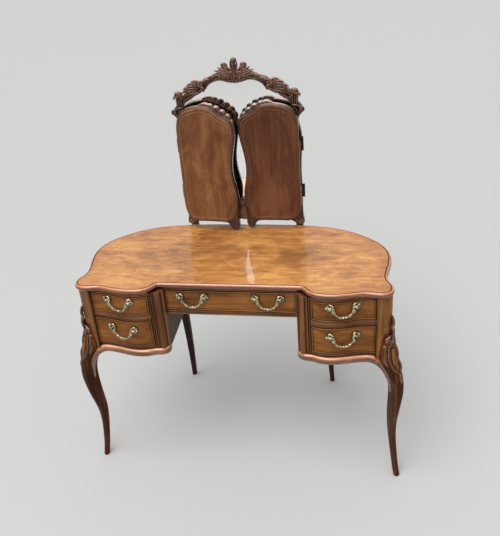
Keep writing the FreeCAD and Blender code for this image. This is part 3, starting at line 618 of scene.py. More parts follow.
# The knee runs up into the stile, which hides its top.
KNEE_TOP = [(545, 470, 11, 28, 28), (580, 466, 18, 26, 27), (620, 462, 25, 24, 25), (655, 459, 30, 19, 20)]
CANT = math.atan2(30.0, 43.0)
BACK_LEG_LINE = [(0, 284.5, 491, 8), (150, 278, 466, 10.5), (335, 270, 422, 13), (450, 264, 383, 15),
                 (516, 262, 360, 16)]
WING_BOARD = [(194, 840), (196, 900), (196, 1000), (196, 1100), (192, 1148), (180, 1172), (160, 1187),
              (130, 1196), (104, 1198), (83, 1194), (66, 1184), (50, 1171), (30, 1159), (16, 1147),
              (10, 1125), (9, 1100), (14, 1063), (20, 1030), (24, 985), (20, 940), (14, 910), (12, 885),
              (13, 857), (19, 832), (27, 811), (42, 799), (80, 797), (125, 797), (163, 798), (184, 812)]
WING_FRAME = [(196, 835), (197, 900), (197, 1000), (197, 1100), (194, 1151), (183, 1176), (162, 1191),
              (131, 1200), (104, 1203), (83, 1200), (65, 1190), (48, 1177), (28, 1165), (12, 1152),
              (5, 1128), (4, 1100), (10, 1063), (16, 1030), (20, 985), (16, 940), (10, 910), (7, 885),
              (8, 857), (11, 825), (10, 795), (14, 770), (24, 764), (36, 769), (44, 785), (62, 791),
              (90, 791), (125, 791), (162, 792), (186, 807)]
CENTRE_OUTER = [(0, 782), (60, 778), (120, 780), (160, 777), (176, 767), (190, 762), (203, 767),
                (203, 782), (200, 810), (198, 870), (198, 1000), (198, 1110), (199, 1150), (207, 1160),
                (210, 1172), (204, 1186), (197, 1196), (198, 1214), (189, 1232), (179, 1228),
                (165, 1240), (148, 1252), (139, 1262), (118, 1271), (100, 1277), (78, 1284), (60, 1293),
                (25, 1300), (0, 1301)]
CENTRE_INNER = [(0, 862), (16, 856), (27, 838), (36, 818), (70, 813), (140, 815), (164, 832),
                (170, 870), (172, 1000), (172, 1110), (175, 1168), (170, 1198), (150, 1212), (133, 1225),
                (117, 1238), (97, 1243), (88, 1255), (72, 1266), (48, 1272), (20, 1265), (0, 1263)]
MIRROR_Y = 395.0
HINGE_X, HINGE_Y, AJAR = 206.0, 393.0, math.radians(6.0)
OUT = np.array([0.0, -1.0, 0.0])
EAST, UP = np.array([1.0, 0, 0]), np.array([0, 0, 1.0])
FACADE_LINE = smooth(FACADE, 12)


def facade_y(x):
    return np.interp(x, FACADE_LINE[:, 0], FACADE_LINE[:, 1])


def flat_y(x):
    return np.full_like(np.array(x, float), RECESS_Y)


SIDES = "left", "right"


def sided(side):
    """The move that puts a right-hand piece on its side."""
    return mirror if side == "left" else None


# ---- top --------------------------------------------------------------------------------------
def top_ring(inset):
    corner = np.array([RECESS_EDGE[0] + 0.4 * inset, RECESS_EDGE[1] + inset])
    rest = smooth(offset(TOP_EDGE + left_of(TOP_EDGE[:-1])[::-1], -inset), 8)
    steps = np.linspace(-1, 1, 41)[:, None]
    return np.vstack([steps * np.array([corner[0], 0]) + np.array([0, corner[1]]), rest])


QUIRK, FIELD = 9.9, 11.2
EAR_BACKING = TABLE_H - 0.04


def rings_at(section):
    """Rings of the top's outline for a section of (inset, height)."""
    return [np.column_stack([ring, np.full(len(ring), z)])
            for ring, z in ((top_ring(inset), z) for inset, z in section)]


def make_top():
    # Bullnose with a quirk at its inner edge: inset from the outline, height.
    section = [(QUIRK, UNDER_TOP), (QUIRK, 756.8), (9.2, 755.3), (8.3, 755), (7.3, 756.2), (6.7, 757.8),
               (5.9, 758.8), (4.8, 758.7), (3.2, 757.4), (1.7, 755.3), (0.6, 752.8), (0, 750),
               (0.2, 747.7), (1.2, 746.1), (2.8, 745.4), (4.6, 744.9), (5.8, 743.5), (6.5, 741.2),
               (7.4, 739.1), (9, UNDER_TOP)]
    build("top_edge", Solid().grid(rings_at(section), True, True), "table", "edge",
          ["top_edge_moulding"], crease=60)

    panel = Solid()
    wall = [(10.1, UNDER_TOP), (10.1, 758.6), (10.4, 759.6), (FIELD, TABLE_H)]
    panel.grid(rings_at(wall), False, True)
    count = len(panel.verts) // len(wall)
    panel.faces.append(list(range(count)))
    edge = top_ring(FIELD)
    panel.verts += [(x, y, EAR_BACKING) for x, y in edge]
    panel.faces.append(list(range(len(panel.verts) - count, len(panel.verts))))

    # Fine grid over the field behind the recess's line, out to the flanks on both sides.
    front = edge[0][1]
    right = edge[(edge[:, 0] > 0) & (edge[:, 1] > front - 0.01)]
    widest = int(np.argmax(right[:, 0] * (right[:, 1] < 120)))
    flank = right[widest:]
    flank = flank[np.argsort(flank[:, 1])]
    rows = []
    for y in np.linspace(front, flank[-1][1] - 0.02, 62):
        reach = np.interp(y, flank[:, 1], flank[:, 0])
        rows.append([(u * reach, y, TABLE_H) for u in np.linspace(-1, 1, 141)])
    panel.grid(rows)

    # The ears, which stand in front of that line.
    ears = edge[(edge[:, 0] > RECESS_EDGE[0] + 10) & (edge[:, 1] <= front + 0.01)]
    ears = ears[np.argsort(ears[:, 0])]
    end = min(ears[-1][0], np.interp(front, flank[:, 1], flank[:, 0]))
    for side in (1, -1):
        rows = []
        for x in np.linspace(ears[0][0], end, 40):
            low = np.interp(x, ears[:, 0], ears[:, 1])
            rows.append([(side * x, low + (front - low) * v, TABLE_H) for v in np.linspace(0, 1, 12)])
        panel.grid(rows)
    top = build("top_field", panel, "table", "top", ["top_panel"], crease=30)
    mark_rim(top, edge)


def mark_rim(piece, edge):
    """Keep each vertex's distance from the panel's edge, in metres, for the darker rim."""
    ring = even(edge, 700, True) / 1000
    ring[:, 1] += SHIFT / 1000
    co = np.array([v.co for v in piece.data.vertices])[:, :2]
    gap = np.min(np.linalg.norm(co[:, None, :] - ring[None, :, :], axis=2), axis=1)
    store = piece.data.attributes.new("rim", "FLOAT", "POINT")
    store.data.foreach_set("value", gap.astype(np.float32))


# ---- legs -------------------------------------------------------------------------------------
def ring_radius(angle, depth, width):
    """Distance from a leg's centreline to its face, for a rounded rectangle."""
    a, b = abs(math.cos(angle - CANT + math.pi / 2)), abs(math.sin(angle - CANT + math.pi / 2))
    radius = LEG_ROUNDING * width
    flat_a, flat_b = depth - radius, width - radius
    if a > 1e-6 and depth / a * b <= flat_b:
        return depth / a
    if b > 1e-6 and width / b * a <= flat_a:
        return width / b
    reach = a * flat_a + b * flat_b
    return reach + math.sqrt(max(radius ** 2 - (flat_a ** 2 + flat_b ** 2 - reach ** 2), 0))


LEG_CURVE = smooth(LEG_LINE + KNEE_TOP, 10)


def leg_at(z):
    return [np.interp(z, LEG_CURVE[:, 0], LEG_CURVE[:, k]) for k in (1, 2, 3, 4)]


def ridge(depth, width):
    """Direction of the leg's front arris."""
    radius = LEG_ROUNDING * width
    return CANT - math.pi / 2 - math.atan2(width - 0.3 * radius, depth - 0.3 * radius)


def leg_point(degrees, z, lift=0.0):
    """A point on the right leg's skin, and the way it faces."""
    x, y, depth, width = leg_at(z)
    angle = math.radians(degrees)
    r = ring_radius(angle, depth, width) + lift
    return (x + r * math.cos(angle), y + r * math.sin(angle), z), (math.cos(angle), math.sin(angle), 0.15)


# The stile's inner face and canted face, seen from above; the leg ends inside it.
STILE_INSIDE, STILE_FRONT, STILE_CORNER, STILE_BACK = 442.3, -17.5, (486.0, 12.0), 50.0
STILE_OUT = np.array([0.5595, -0.8288])
LEG_TOP, UNDER_APRON, CARCASS_SIDE = 655, 527, 442.6
# The arris's grooves fade in above the foot and out under the carving: height, length of the fade.
FADE_IN, FADE_OUT = (22, 40), (545, 60)


def front_leg_solid():
    """Cabriole leg with a ridge between two grooves on its front arris."""
    solid = Solid()
    rows = []
    around = np.linspace(0, 2 * math.pi, 112, endpoint=False)
    for z in np.concatenate([[0, 1.2], np.linspace(4, LEG_TOP, 150)]):
        x, y, depth, width = leg_at(z)
        fade = clamp((z - FADE_IN[0]) / FADE_IN[1]) * clamp((FADE_OUT[0] - z) / FADE_OUT[1])
        scale = 0.45 + 0.5 * width / 19
        arris = ridge(depth, width)
        ring = []
        for angle in around:
            r = ring_radius(angle, depth, width)
            if z < 1:
                r -= 1.0
            s = ((angle - arris + math.pi) % (2 * math.pi) - math.pi) * r / scale
            cut = math.exp(-((abs(s) - 5.6) / 1.5) ** 2)
            r += fade * scale * (0.8 * math.exp(-(s / 3.0) ** 2) - 1.8 * cut)
            px, py = x + r * math.cos(angle), y + r * math.sin(angle)
            if z > UNDER_APRON:
                px = max(px, CARCASS_SIDE)
            ring.append((px, py, z))
        rows.append(ring)
    solid.grid(rows, False, True, True)
    return solid


def stile_solid():
    """Canted stile: a quirk beside the drawers, two shallow reeds and a rounded outer corner."""
    start, end = np.array([STILE_INSIDE, STILE_FRONT]), np.array(STILE_CORNER)
    along = (end - start) / np.linalg.norm(end - start)
    plan = [(STILE_INSIDE, STILE_BACK), (STILE_INSIDE, STILE_FRONT + 2.5)]
    for d in np.linspace(0.6, 50.0, 56):
        lift = 0.9 * math.sin(math.pi * clamp((d - 7) / 17))
        lift += 1.1 * math.sin(math.pi * clamp((d - 26) / 23))
        lift -= 2.2 * math.exp(-((d - 4.6) / 1.2) ** 2) + 0.9 * math.exp(-((d - 25) / 1.3) ** 2)
        plan.append(tuple(start + along * d + STILE_OUT * lift))
    plan += [(485.6, 12.4), (486.9, 14.6), (487.3, 18.0), (487.6, 30.0), (488.0, STILE_BACK)]
    return upright(plan, (505, 560, 620, 680, POST_TOP))


def knee_leaves(solid, leaves):
    """Leaves on the knee's skin: (direction in degrees, height) along each vein, half-width, height."""
    for vein, width, height in leaves:
        found = [leg_point(angle, z, -1.0) for angle, z in vein]
        leaf(solid, [p for p, _ in found], [n for _, n in found], width, height, vein=0.6, thick=5, peak=0.55)
    return solid


def acanthus_solid():
    """Carved stem, volute and small leaves on the outer corner of a front leg's knee."""
    solid = knee_leaves(Solid(), [
        ([(-66, 566), (-76, 536), (-72, 506)], 5, 8.5), ([(-72, 514), (-64, 488), (-46, 470)], 5, 8.5),
        ([(-16, 566), (-4, 536), (-10, 504)], 5, 9), ([(-8, 512), (-14, 486), (-32, 468)], 5, 8.5),
        ([(8, 596), (20, 560), (16, 526)], 6, 7), ([(6, 522), (14, 496), (8, 472)], 4.6, 6.5),
        ([(-40, 476), (-40, 456), (-46, 432)], 4.6, 6.5), ([(-82, 568), (-92, 548), (-88, 526)], 4, 6.5),
        ([(-60, 596), (-52, 578), (-48, 560)], 5.4, 8), ([(-92, 540), (-98, 520), (-90, 500)], 3.4, 5)])
    face = (0.56, -0.83, 0.1)
    leaf(solid, [(487, 11, 664), (490.4, 7, 640), (488, 4, 614)], (0.8, -0.6, 0), 5, 5.4, thick=5)
    leaf(solid, [(489, 8, 634), (490, 2, 606), (487, -2, 578)], face, 5, 7.5, thick=5)
    scroll(solid, (475, -4.5, 580), 2.3, -1.15, 8.5, 3.4, 3.8, face, (0.83, 0.56, 0), (0, 0, 1),
           tail=[(487, 3, 596), (483, 0, 595), (478, -4, 592)])
    dome(solid, np.array([487.5, 1.0, 576]), face, 6.5, 8.0, back=5)
    dome(solid, np.array([466.0, -10.0, 564]), face, 5.0, 6.5, back=5)
    dome(solid, np.array([478.0, -7.0, 562]), face, 4.6, 7.0, back=5)
    return solid


def knee_lobe_solid():
    """Smooth cabochon that the knee's leaves frame."""
    return knee_leaves(Solid(), [([(-40, 552), (-42, 520), (-40, 480)], 9.5, 8.5)])


def back_leg_solid():
    """Square tapered leg with chamfered edges, swept back, with its post."""
    line = smooth(BACK_LEG_LINE, 9)
    rows = []
    for z, x, y, half in list(line) + [(z, *BACK_POST) for z in (517, 600, 737.8)]:
        c = min(2.2, half * 0.22)
        ring = [(half - c, -half), (half, -half + c), (half, half - c), (half - c, half), (-half + c, half),
                (-half, half - c), (-half, -half + c), (-half + c, -half)]
        rows.append([(x + a, y + b, z) for a, b in ring])
    return Solid().grid(rows, False, True, True)


def make_legs():
    # Name, solid, finish, the CAD node that it stands for, crease angle.
    pieces = [("cabriole_leg_", front_leg_solid(), "leg", "front_leg_", 50),
              ("stile_", stile_solid(), "case", None, 50),
              ("knee_carving_", acanthus_solid(), "carved", None, 60),
              ("knee_cabochon_", knee_lobe_solid(), "case", None, 60),
              ("sabre_leg_", back_leg_solid(), "back leg", "back_leg_", 25)]
    for side in SIDES:
        for name, solid, finish, node, crease in pieces:
            build(name + side, solid, "table", finish, [node + side] if node else (), crease, sided(side))


# ---- case -------------------------------------------------------------------------------------
def strip(x0, x1, face, profile, depth, steps=40):
    """Moulded rail: a profile of (height, proud) run along the front between two x."""
    xs = np.linspace(x0, x1, steps)
    ys = face(xs)
    rows = []
    for x, y in zip(xs, ys):
        front = [(x, y - proud, z) for z, proud in profile]
        rows.append(front + [(x, y + depth, profile[-1][0]), (x, y + depth, profile[0][0])])
    return Solid().grid(rows, False, True, True)


COLUMN_INSIDE, COLUMN_OUTSIDE, COLUMN_BACK, GROOVE = 206.1, 249, 24, -3.2


def column_solid():
    """Rounded corner post with a narrow reed, a broad reed and a fine bead."""
    bow = even(smooth(COLUMN_BOW, 12), 120)
    run = np.concatenate([[0], np.cumsum(np.linalg.norm(np.diff(bow, axis=0), axis=1))])
    ahead = unit(np.gradient(bow, axis=0))
    out = np.stack([ahead[:, 1], -ahead[:, 0]], axis=1)
    lift = np.full(len(bow), GROOVE)
    for low, high, swell in ((0.5, 5, 0.6), (7.5, 21, 3.4), (26.5, 47, 4.4), (51.5, 57, 1.8), (59, 63, 0.8)):
        t = np.clip((run - low) / (high - low), 0, 1)
        round_part = np.sqrt(np.clip(1 - (2 * t - 1) ** 2, 0, 1)) * (t > 0) * (t < 1)
        lift = np.maximum(lift, (swell - GROOVE) * round_part + GROOVE)
    plan = [tuple(p) for p in bow + out * lift[:, None]]
    plan = [(max(x, COLUMN_INSIDE), y) for x, y in plan]
    plan += [(COLUMN_OUTSIDE, COLUMN_BACK), (COLUMN_INSIDE, COLUMN_BACK)]
    return upright(plan, (526, 560, 600, 650, 700, POST_TOP))


def bullnose_solid():
    """Bead along the pedestal's foot, swept down into the inner edge of the leg."""
    face = even(smooth(COLUMN_BOW + FACADE[1:-1] + [(418, -8)], 8), 120)
    ahead = unit(np.gradient(face, axis=0))
    out = np.stack([ahead[:, 1], -ahead[:, 0]], axis=1)
    # It starts on the column's inner face.
    points = [(x, y, 515.0) for x, y in np.vstack([[(206.4, 24.0)], face])]
    outs = [(x, y, 0.0) for x, y in np.vstack([[(-1.0, 0.0)], out])]
    run = np.concatenate([[0], np.linspace(0, 1, len(face))])
    proud = list(np.interp(run, [0, 0.04, 0.1, 0.2, 1], [1, 3, 7, 8.6, 8.6]))
    half = list(np.interp(run, [0, 0.02, 0.05, 0.1, 1], [5, 8.5, 11.4, 12.8, 12.8]))
    # Down the leg: x, y, z, how far it stands proud, half its width.
    turn = smooth([(418, -8, 515, 8.6, 12.8), (434, -8.5, 511, 8.6, 12.8), (450, -10, 502, 9, 12.4),
                   (463.5, -12, 488, 9.5, 11.4), (473, -13, 470, 9, 9.6), (479.5, -12, 450, 7.5, 7.6),
                   (484, -8, 428, 5.5, 5.6), (487, -2.5, 404, 3, 3.8), (489.5, -0.5, 380, 0.6, 2)], 7)[1:]
    for x, y, z, stand, h in turn:
        points.append((x, y, z))
        outs.append((-0.18, -0.98, 0.0))
        proud.append(stand)
        half.append(h)
    points, outs = np.array(points), unit(np.array(outs))
    path_ahead = unit(np.gradient(points, axis=0))
    across = unit(np.cross(path_ahead, outs))
    rows = []
    for p, o, w, stand, h in zip(points, outs, across, proud, half):
        nose = [(h * math.sin(a), stand * math.cos(a)) for a in np.linspace(-math.pi / 2, math.pi / 2, 17)]
        depth = 14 * min(1, h / 9)
        rows.append([p + w * b + o * a for b, a in nose] + [p + w * h - o * depth, p - w * h - o * depth])
    return Solid().grid(rows, False, True, True)


FACADE_SPAN, RECESS_HALF = (249.1, 442), 205.6


def make_case():
    column, bead = column_solid(), bullnose_solid()
    apron_rail = [(515, -3.5), (527, -3.5), (530, -3.2), (533, -1.8), (535, 0.2), (536.4, 1.1), (538, 1.1),
                  (539.4, 0.2), (540, -1)]
    divider = [(637, -1), (638.4, 0.3), (640, 0.5), (641.1, -0.9), (642.6, 1.2), (645, 2.7), (648, 3.3),
               (651, 2.7), (653.4, 1.2), (654.9, -0.9), (656, 0.5), (657.6, 0.3), (659, -1)]
    top_rail = [(730, -1), (730.8, 0.3), (732, 0.8), (733.4, 0.2), (734.2, -1.2), (738, -1.2)]
    lower = [(640, -0.6), (640.9, 1.2), (642.6, 2.2), (644.6, 1.5), (645.6, -0.8), (647, 0), (652.6, 0),
             (653.4, 0.5), (655, -0.9)]
    columns = Solid().add(column).add(column, mirror)
    build("reeded_columns", columns, "table", "column", ["inner_columns"], crease=50)
    for side in SIDES:
        build("foot_bead_" + side, bead, "table", "bead", ["apron_" + side],
              move=sided(side), crease=50)
        rail = strip(*FACADE_SPAN, facade_y, apron_rail, 36)
        build("apron_rail_" + side, rail, "table", "rail", move=sided(side), crease=50)
    rails = Solid()
    tops = Solid()
    for move in (None, mirror):
        rails.add(strip(*FACADE_SPAN, facade_y, divider, 36), move)
        tops.add(strip(*FACADE_SPAN, facade_y, top_rail, 36), move)
    tops.add(strip(-RECESS_HALF, RECESS_HALF, flat_y, top_rail, 20, 12))
    build("moulded_dividers", rails, "table", "rail", ["divider_rails"], crease=50)
    build("moulded_top_rails", tops, "table", "rail", ["front_top_rails"], crease=50)
    build("moulded_centre_rail", strip(-RECESS_HALF, RECESS_HALF, flat_y, lower, 20, 12), "table", "rail",
          ["centre_apron_rail"], crease=50)


# ---- drawers ----------------------------------------------------------------------------------
# Cock bead and quirk round a drawer front: distance from its edge, proud of the face.
BEAD = [(0, -0.8), (0.5, 0.9), (1.3, 1.9), (2.3, 2.3), (3.3, 1.9), (4.1, 0.7), (4.5, -1.1), (5.4, -1.2),
        (6.0, -0.2), (7.0, 0.0)]
FRONT_T, BEAD_MARGIN = 18, 12


def drawer_front_solid(x0, x1, z0, z1, face):
    ends = [d for d, _ in BEAD]
    xs, zs = [np.concatenate([low + np.array(ends),
                              np.linspace(low + BEAD_MARGIN, high - BEAD_MARGIN, steps),
                              high - np.array(ends[::-1])])
              for low, high, steps in ((x0, x1, 36), (z0, z1, 5))]
    heights = [h for _, h in BEAD]
    ys = face(xs)
    front, back = [], []
    for x, y in zip(xs, ys):
        line = []
        for z in zs:
            gap = min(x - x0, x1 - x, z - z0, z1 - z)
            line.append((x, y - np.interp(gap, ends, heights), z))
        front.append(line)
        back.append([(x, y + FRONT_T, z) for z in zs])
    solid = Solid().grid(front).grid(back)
    n, m = len(xs), len(zs)
    rim = [(i, 0) for i in range(n)] + [(n - 1, j) for j in range(1, m)]
    rim += [(i, m - 1) for i in range(n - 2, -1, -1)] + [(0, j) for j in range(m - 2, 0, -1)]
    for (i, j), (k, l) in zip(rim, rim[1:] + rim[:1]):
        solid.faces.append((i * m + j, k * m + l, n * m + k * m + l, n * m + i * m + j))
    return solid


def polar(radius, angle, y):
    return radius * math.cos(angle), y, radius * math.sin(angle)


def boss_solid(side):
    """Leafy rosette with the post that carries the bail; its face is the local plane y = 0."""
    solid = Solid()
    dome(solid, np.array([0, 0.6, 0]), (0, -1, 0), 8.6, 3.2, 20, 5, back=2.2)
    for k in range(8):
        a = 2 * math.pi * k / 8 + 0.3
        reach = (14.6, 12.0, 13.6, 10.8)[k % 4]
        bend = a + 0.4 * side
        path = [polar(3, a, -2.6), polar(8, a, -5.4), polar(reach, bend, -2.2)]
        leaf(solid, path, OUT, 3.9, 2.6, base=0.5, vein=0.6, count=10, across=6, thick=1.8)
    path = [(0, 0.5, 0), (0, -6, 0), (0, -10, 0), (0, -13.4, 0)]
    tube(solid, path, [5.2, 4.2, 3.6, 4.0], (0, 0, 1), 1.0, 14)
    dome(solid, np.array([0, -12.9, 0]), (0, -1, 0), 4.6, 2.3, 14, 4)
    for a in (0.6, 2.2, 3.9, 5.4):
        path = [polar(4.0, a, -4.0), polar(6.4, a + 0.3, -8.6), polar(4.2, a + 0.6, -13.8)]
        leaf(solid, path, polar(1, a, 0), 3.0, 1.8, base=0.5, vein=0.5, count=8, across=6, thick=1.2)
    return solid


def bail_solid():
    """Swan-necked bail, leafed at its shoulders, with a collared knob in the middle."""
    solid = Solid()
    half = [(38.6, 0), (34, 0), (30.6, -1.0), (28.6, -5), (28.0, -11), (25.6, -18.5), (20.5, -25.5),
            (13.6, -31), (7, -33.4), (0, -34)]
    full = smooth([(x, 0, z) for x, z in half] + [(-x, 0, z) for x, z in half[-2::-1]], 7)
    t = np.linspace(0, 1, 19)
    swell = [1.5, 1.5, 2.6, 3.4, 2.3, 3.3, 3.6, 2.0, 3.0, 3.4, 3.0, 2.0, 3.6, 3.3, 2.3, 3.4, 2.6, 1.5, 1.5]
    tube(solid, full, list(np.interp(np.linspace(0, 1, 80), t, swell)), (0, 1, 0), 1.0, 12)
    # Leaves along the bail: path, half-width, height, base, vein, count, thickness, lobes.
    leaves = [([(30.4, -1.8, -2), (30.2, -3.4, -10), (23.6, -2.4, -21)], 5.4, 2.4, 0.45, 0.6, 14, 2.8, 3),
              ([(27, -1.6, -9), (31.6, -2.4, -14), (29, -1.6, -20)], 3.2, 2.0, 0.5, 0.5, 9, 2.2, 0),
              ([(11, -1.6, -32), (17, -2.6, -28.6), (24, -1.6, -21)], 4.2, 2.0, 0.5, 0.6, 10, 2.4, 2),
              ([(3.0, -1.8, -34), (8, -2.6, -33), (13.4, -1.5, -30.6)], 3.4, 1.8, 0.5, 0.5, 8, 2.2, 0)]
    for side in (1, -1):
        for path, width, height, base, vein, count, thick, lobes in leaves:
            path = [(side * x, y, z) for x, y, z in path]
            leaf(solid, path, OUT, width, height, base, vein, count, 6, thick, lobes)
        ring = [(side * 4.6 + 0.9 * k, 0, -33.9 + 0.12 * side * k) for k in (-1, 0, 1)]
        tube(solid, ring, [3.0, 4.2, 3.0], (0, 1, 0), 1.0, 12)
    dome(solid, np.array([0, 0, -34]), (0, -1, 0), 4.4, 4.4, 16, 5)
    dome(solid, np.array([0, 0, -34]), (0, 1, 0), 4.0, 3.4, 16, 5)
    return solid


def place(x, y, z, turn):
    c, s = math.cos(turn), math.sin(turn)

    def move(verts):
        return np.stack([x + c * verts[:, 0] - s * verts[:, 1], y + s * verts[:, 0] + c * verts[:, 1],
                         z + verts[:, 2]], axis=1)
    return move


BOSS_SPAN, EYE_OUT = 78.0, 11.0
PEDESTAL_HANDLE_X, CENTRE_HANDLE_X = 344.0, 118.0
# Each pedestal drawer's foot, head and handle height, then the centre drawer's.
PEDESTAL_SPAN, PEDESTAL_DRAWERS = (250, 441), {"upper": (661, 728, 714), "lower": (542, 635, 608)}
CENTRE_SPAN, CENTRE_DRAWER = (-205, 205), (657, 728, 708)


def handle_solids(x, y, z, turn):
    bosses = Solid()
    for side in (-1, 1):
        reach = side * BOSS_SPAN / 2
        there = place(x + reach * math.cos(turn), y + reach * math.sin(turn), z, turn)
        bosses.add(boss_solid(side), there)
    out = np.array([math.sin(turn), -math.cos(turn)]) * EYE_OUT
    bail = Solid().add(bail_solid(), place(x + out[0], y + out[1], z, turn))
    return bosses, bail


def make_drawers():
    near = facade_y(PEDESTAL_HANDLE_X - BOSS_SPAN / 2)
    far = facade_y(PEDESTAL_HANDLE_X + BOSS_SPAN / 2)
    turn = math.atan2(far - near, BOSS_SPAN)
    for level, (foot, head, handle_z) in PEDESTAL_DRAWERS.items():
        front = drawer_front_solid(*PEDESTAL_SPAN, foot, head, facade_y)
        bosses, bail = handle_solids(PEDESTAL_HANDLE_X, (near + far) / 2, handle_z, turn)
        for side in SIDES:
            name = "%s_%s_" % (side, level)
            for what, solid, part, finish, node, crease in (
                    ("beaded_front", front, "drawer", "drawer", "drawer_front", 45),
                    ("rosettes", bosses, "drawer", "brass", "bosses", 60),
                    ("swan_bail", bail, "handle", "brass", "bail", 60)):
                build(name + what, solid, name + part, finish, [name + node], crease, sided(side))
    foot, head, handle_z = CENTRE_DRAWER
    front = drawer_front_solid(*CENTRE_SPAN, foot, head, flat_y)
    build("centre_beaded_front", front, "centre_drawer", "drawer", ["centre_drawer_front"], crease=45)
    bosses, bail = handle_solids(CENTRE_HANDLE_X, RECESS_Y, handle_z, 0.0)
    both = Solid().add(bosses).add(bosses, mirror)
    build("centre_rosettes", both, "centre_drawer", "brass", ["centre_bosses"], crease=60)
    for side in SIDES:
        build("centre_%s_swan_bail" % side, bail, "centre_%s_handle" % side, "brass",
              ["centre_%s_bail" % side], move=sided(side), crease=60)


# ---- mirror -----------------------------------------------------------------------------------
def radii(outline, centre, angles):
    """Distance from a centre to a closed outline in each direction."""
    dense = even(smooth(outline, 12, True), 1400, True) - np.array(centre)
    theta = np.arctan2(dense[:, 1], dense[:, 0])
    order = np.argsort(theta)
    return np.interp(angles, theta[order], np.linalg.norm(dense, axis=1)[order], period=2 * math.pi)


def ring_solid(outer, inner, centre, profile, count=420):
    """Frame between two outlines; profile rows are (part of the way out, y)."""
    angles = np.linspace(-math.pi, math.pi, count, endpoint=False)
    far, near = radii(outer, centre, angles), radii(inner, centre, angles)
    rows = []
    for a, r1, r0 in zip(angles, far, near):
        rows.append([(centre[0] + (r0 + (r1 - r0) * t) * math.cos(a), y,
                      centre[1] + (r0 + (r1 - r0) * t) * math.sin(a)) for t, y in profile])
    return Solid().grid(rows, True, True)


def front_leaf(solid, points, width, height, y=None, lobes=0, vein=0.4, thick=5):
    """Leaf laid on the mirror's front; its path is x, z."""
    y = MIRROR_Y - 0.5 if y is None else y
    path = [(x, y, z) for x, z in points]
    return leaf(solid, path, OUT, width, height, lobes=lobes, vein=vein, thick=thick)


def front_scroll(solid, x, z, start, turns, r_out, r_in, thick, tail=(), y=None):
    y = MIRROR_Y + 0.5 if y is None else y
    return scroll(solid, (x, y, z), start, turns, r_out, r_in, thick, OUT, EAST, UP,
                  tail=[(tx, y, tz) for tx, tz in tail])


def arch_carving():
    """Right half of the carving on the arch: band scroll, leaves, post and ear."""
    s = Solid()
    front_leaf(s, [(62, 1290), (78, 1283), (100, 1270)], 5, 5, vein=0.8)
    front_scroll(s, 108, 1262, 2.4, -1.15, 11.5, 3.8, 4.2, tail=[(82, 1279), (92, 1277)], y=392.0)
    front_leaf(s, [(107, 1256), (103, 1247), (101, 1238)], 7, 8, y=393)
    # Leaf sprays: outer ones first; their tips stand clear of one another.
    for path, width, height in (([(110, 1262), (124, 1272), (140, 1272)], 6, 8),
                                ([(114, 1256), (134, 1265), (155, 1262)], 6.5, 10),
                                ([(118, 1250), (144, 1256), (170, 1248)], 6.5, 11),
                                ([(122, 1245), (150, 1246), (180, 1232)], 6, 10),
                                ([(122, 1240), (150, 1236), (178, 1218)], 6, 9),
                                ([(120, 1238), (144, 1227), (171, 1207)], 6, 8)):
        front_leaf(s, path, width, height, vein=0.7, y=393.5)
    front_leaf(s, [(98, 1248), (114, 1240), (132, 1226)], 5.5, 7)
    for x, z in ((141, 1266), (158, 1256), (172, 1242)):
        dome(s, np.array([x - 4, 391.0, z - 3]), OUT, 4.2, 5, 12, 4, back=5)
    for shift in (-6.5, 0.0, 6.0):
        front_leaf(s, [(184 + shift, 1186), (186 + shift, 1206), (187 + shift, 1226)], 3.6, 5.5, vein=0.0)
    front_scroll(s, 190, 1229, 3.4, -1.1, 9.5, 3.4, 4.2, tail=[(176, 1216), (180, 1224)], y=391.5)
    front_leaf(s, [(174, 1222), (180, 1236), (197, 1238)], 5, 8)
    front_leaf(s, [(186, 1222), (199, 1224), (204, 1214)], 4.5, 7)
    front_scroll(s, 206, 1172, 2.2, -1.1, 9.0, 3.4, 3.8, y=393.0,
                 tail=[(178, 1188), (188, 1187), (197, 1184)])
    front_leaf(s, [(202, 1168), (197, 1158), (193, 1146)], 5, 2.2, thick=4)
    front_leaf(s, [(183, 1180), (186, 1170), (190, 1158)], 6, 2.2, thick=4)
    front_scroll(s, 191, 773, -2.2, 1.1, 9.0, 3.2, 3.4, tail=[(160, 786), (172, 782), (180, 776)], y=396.0)
    return s


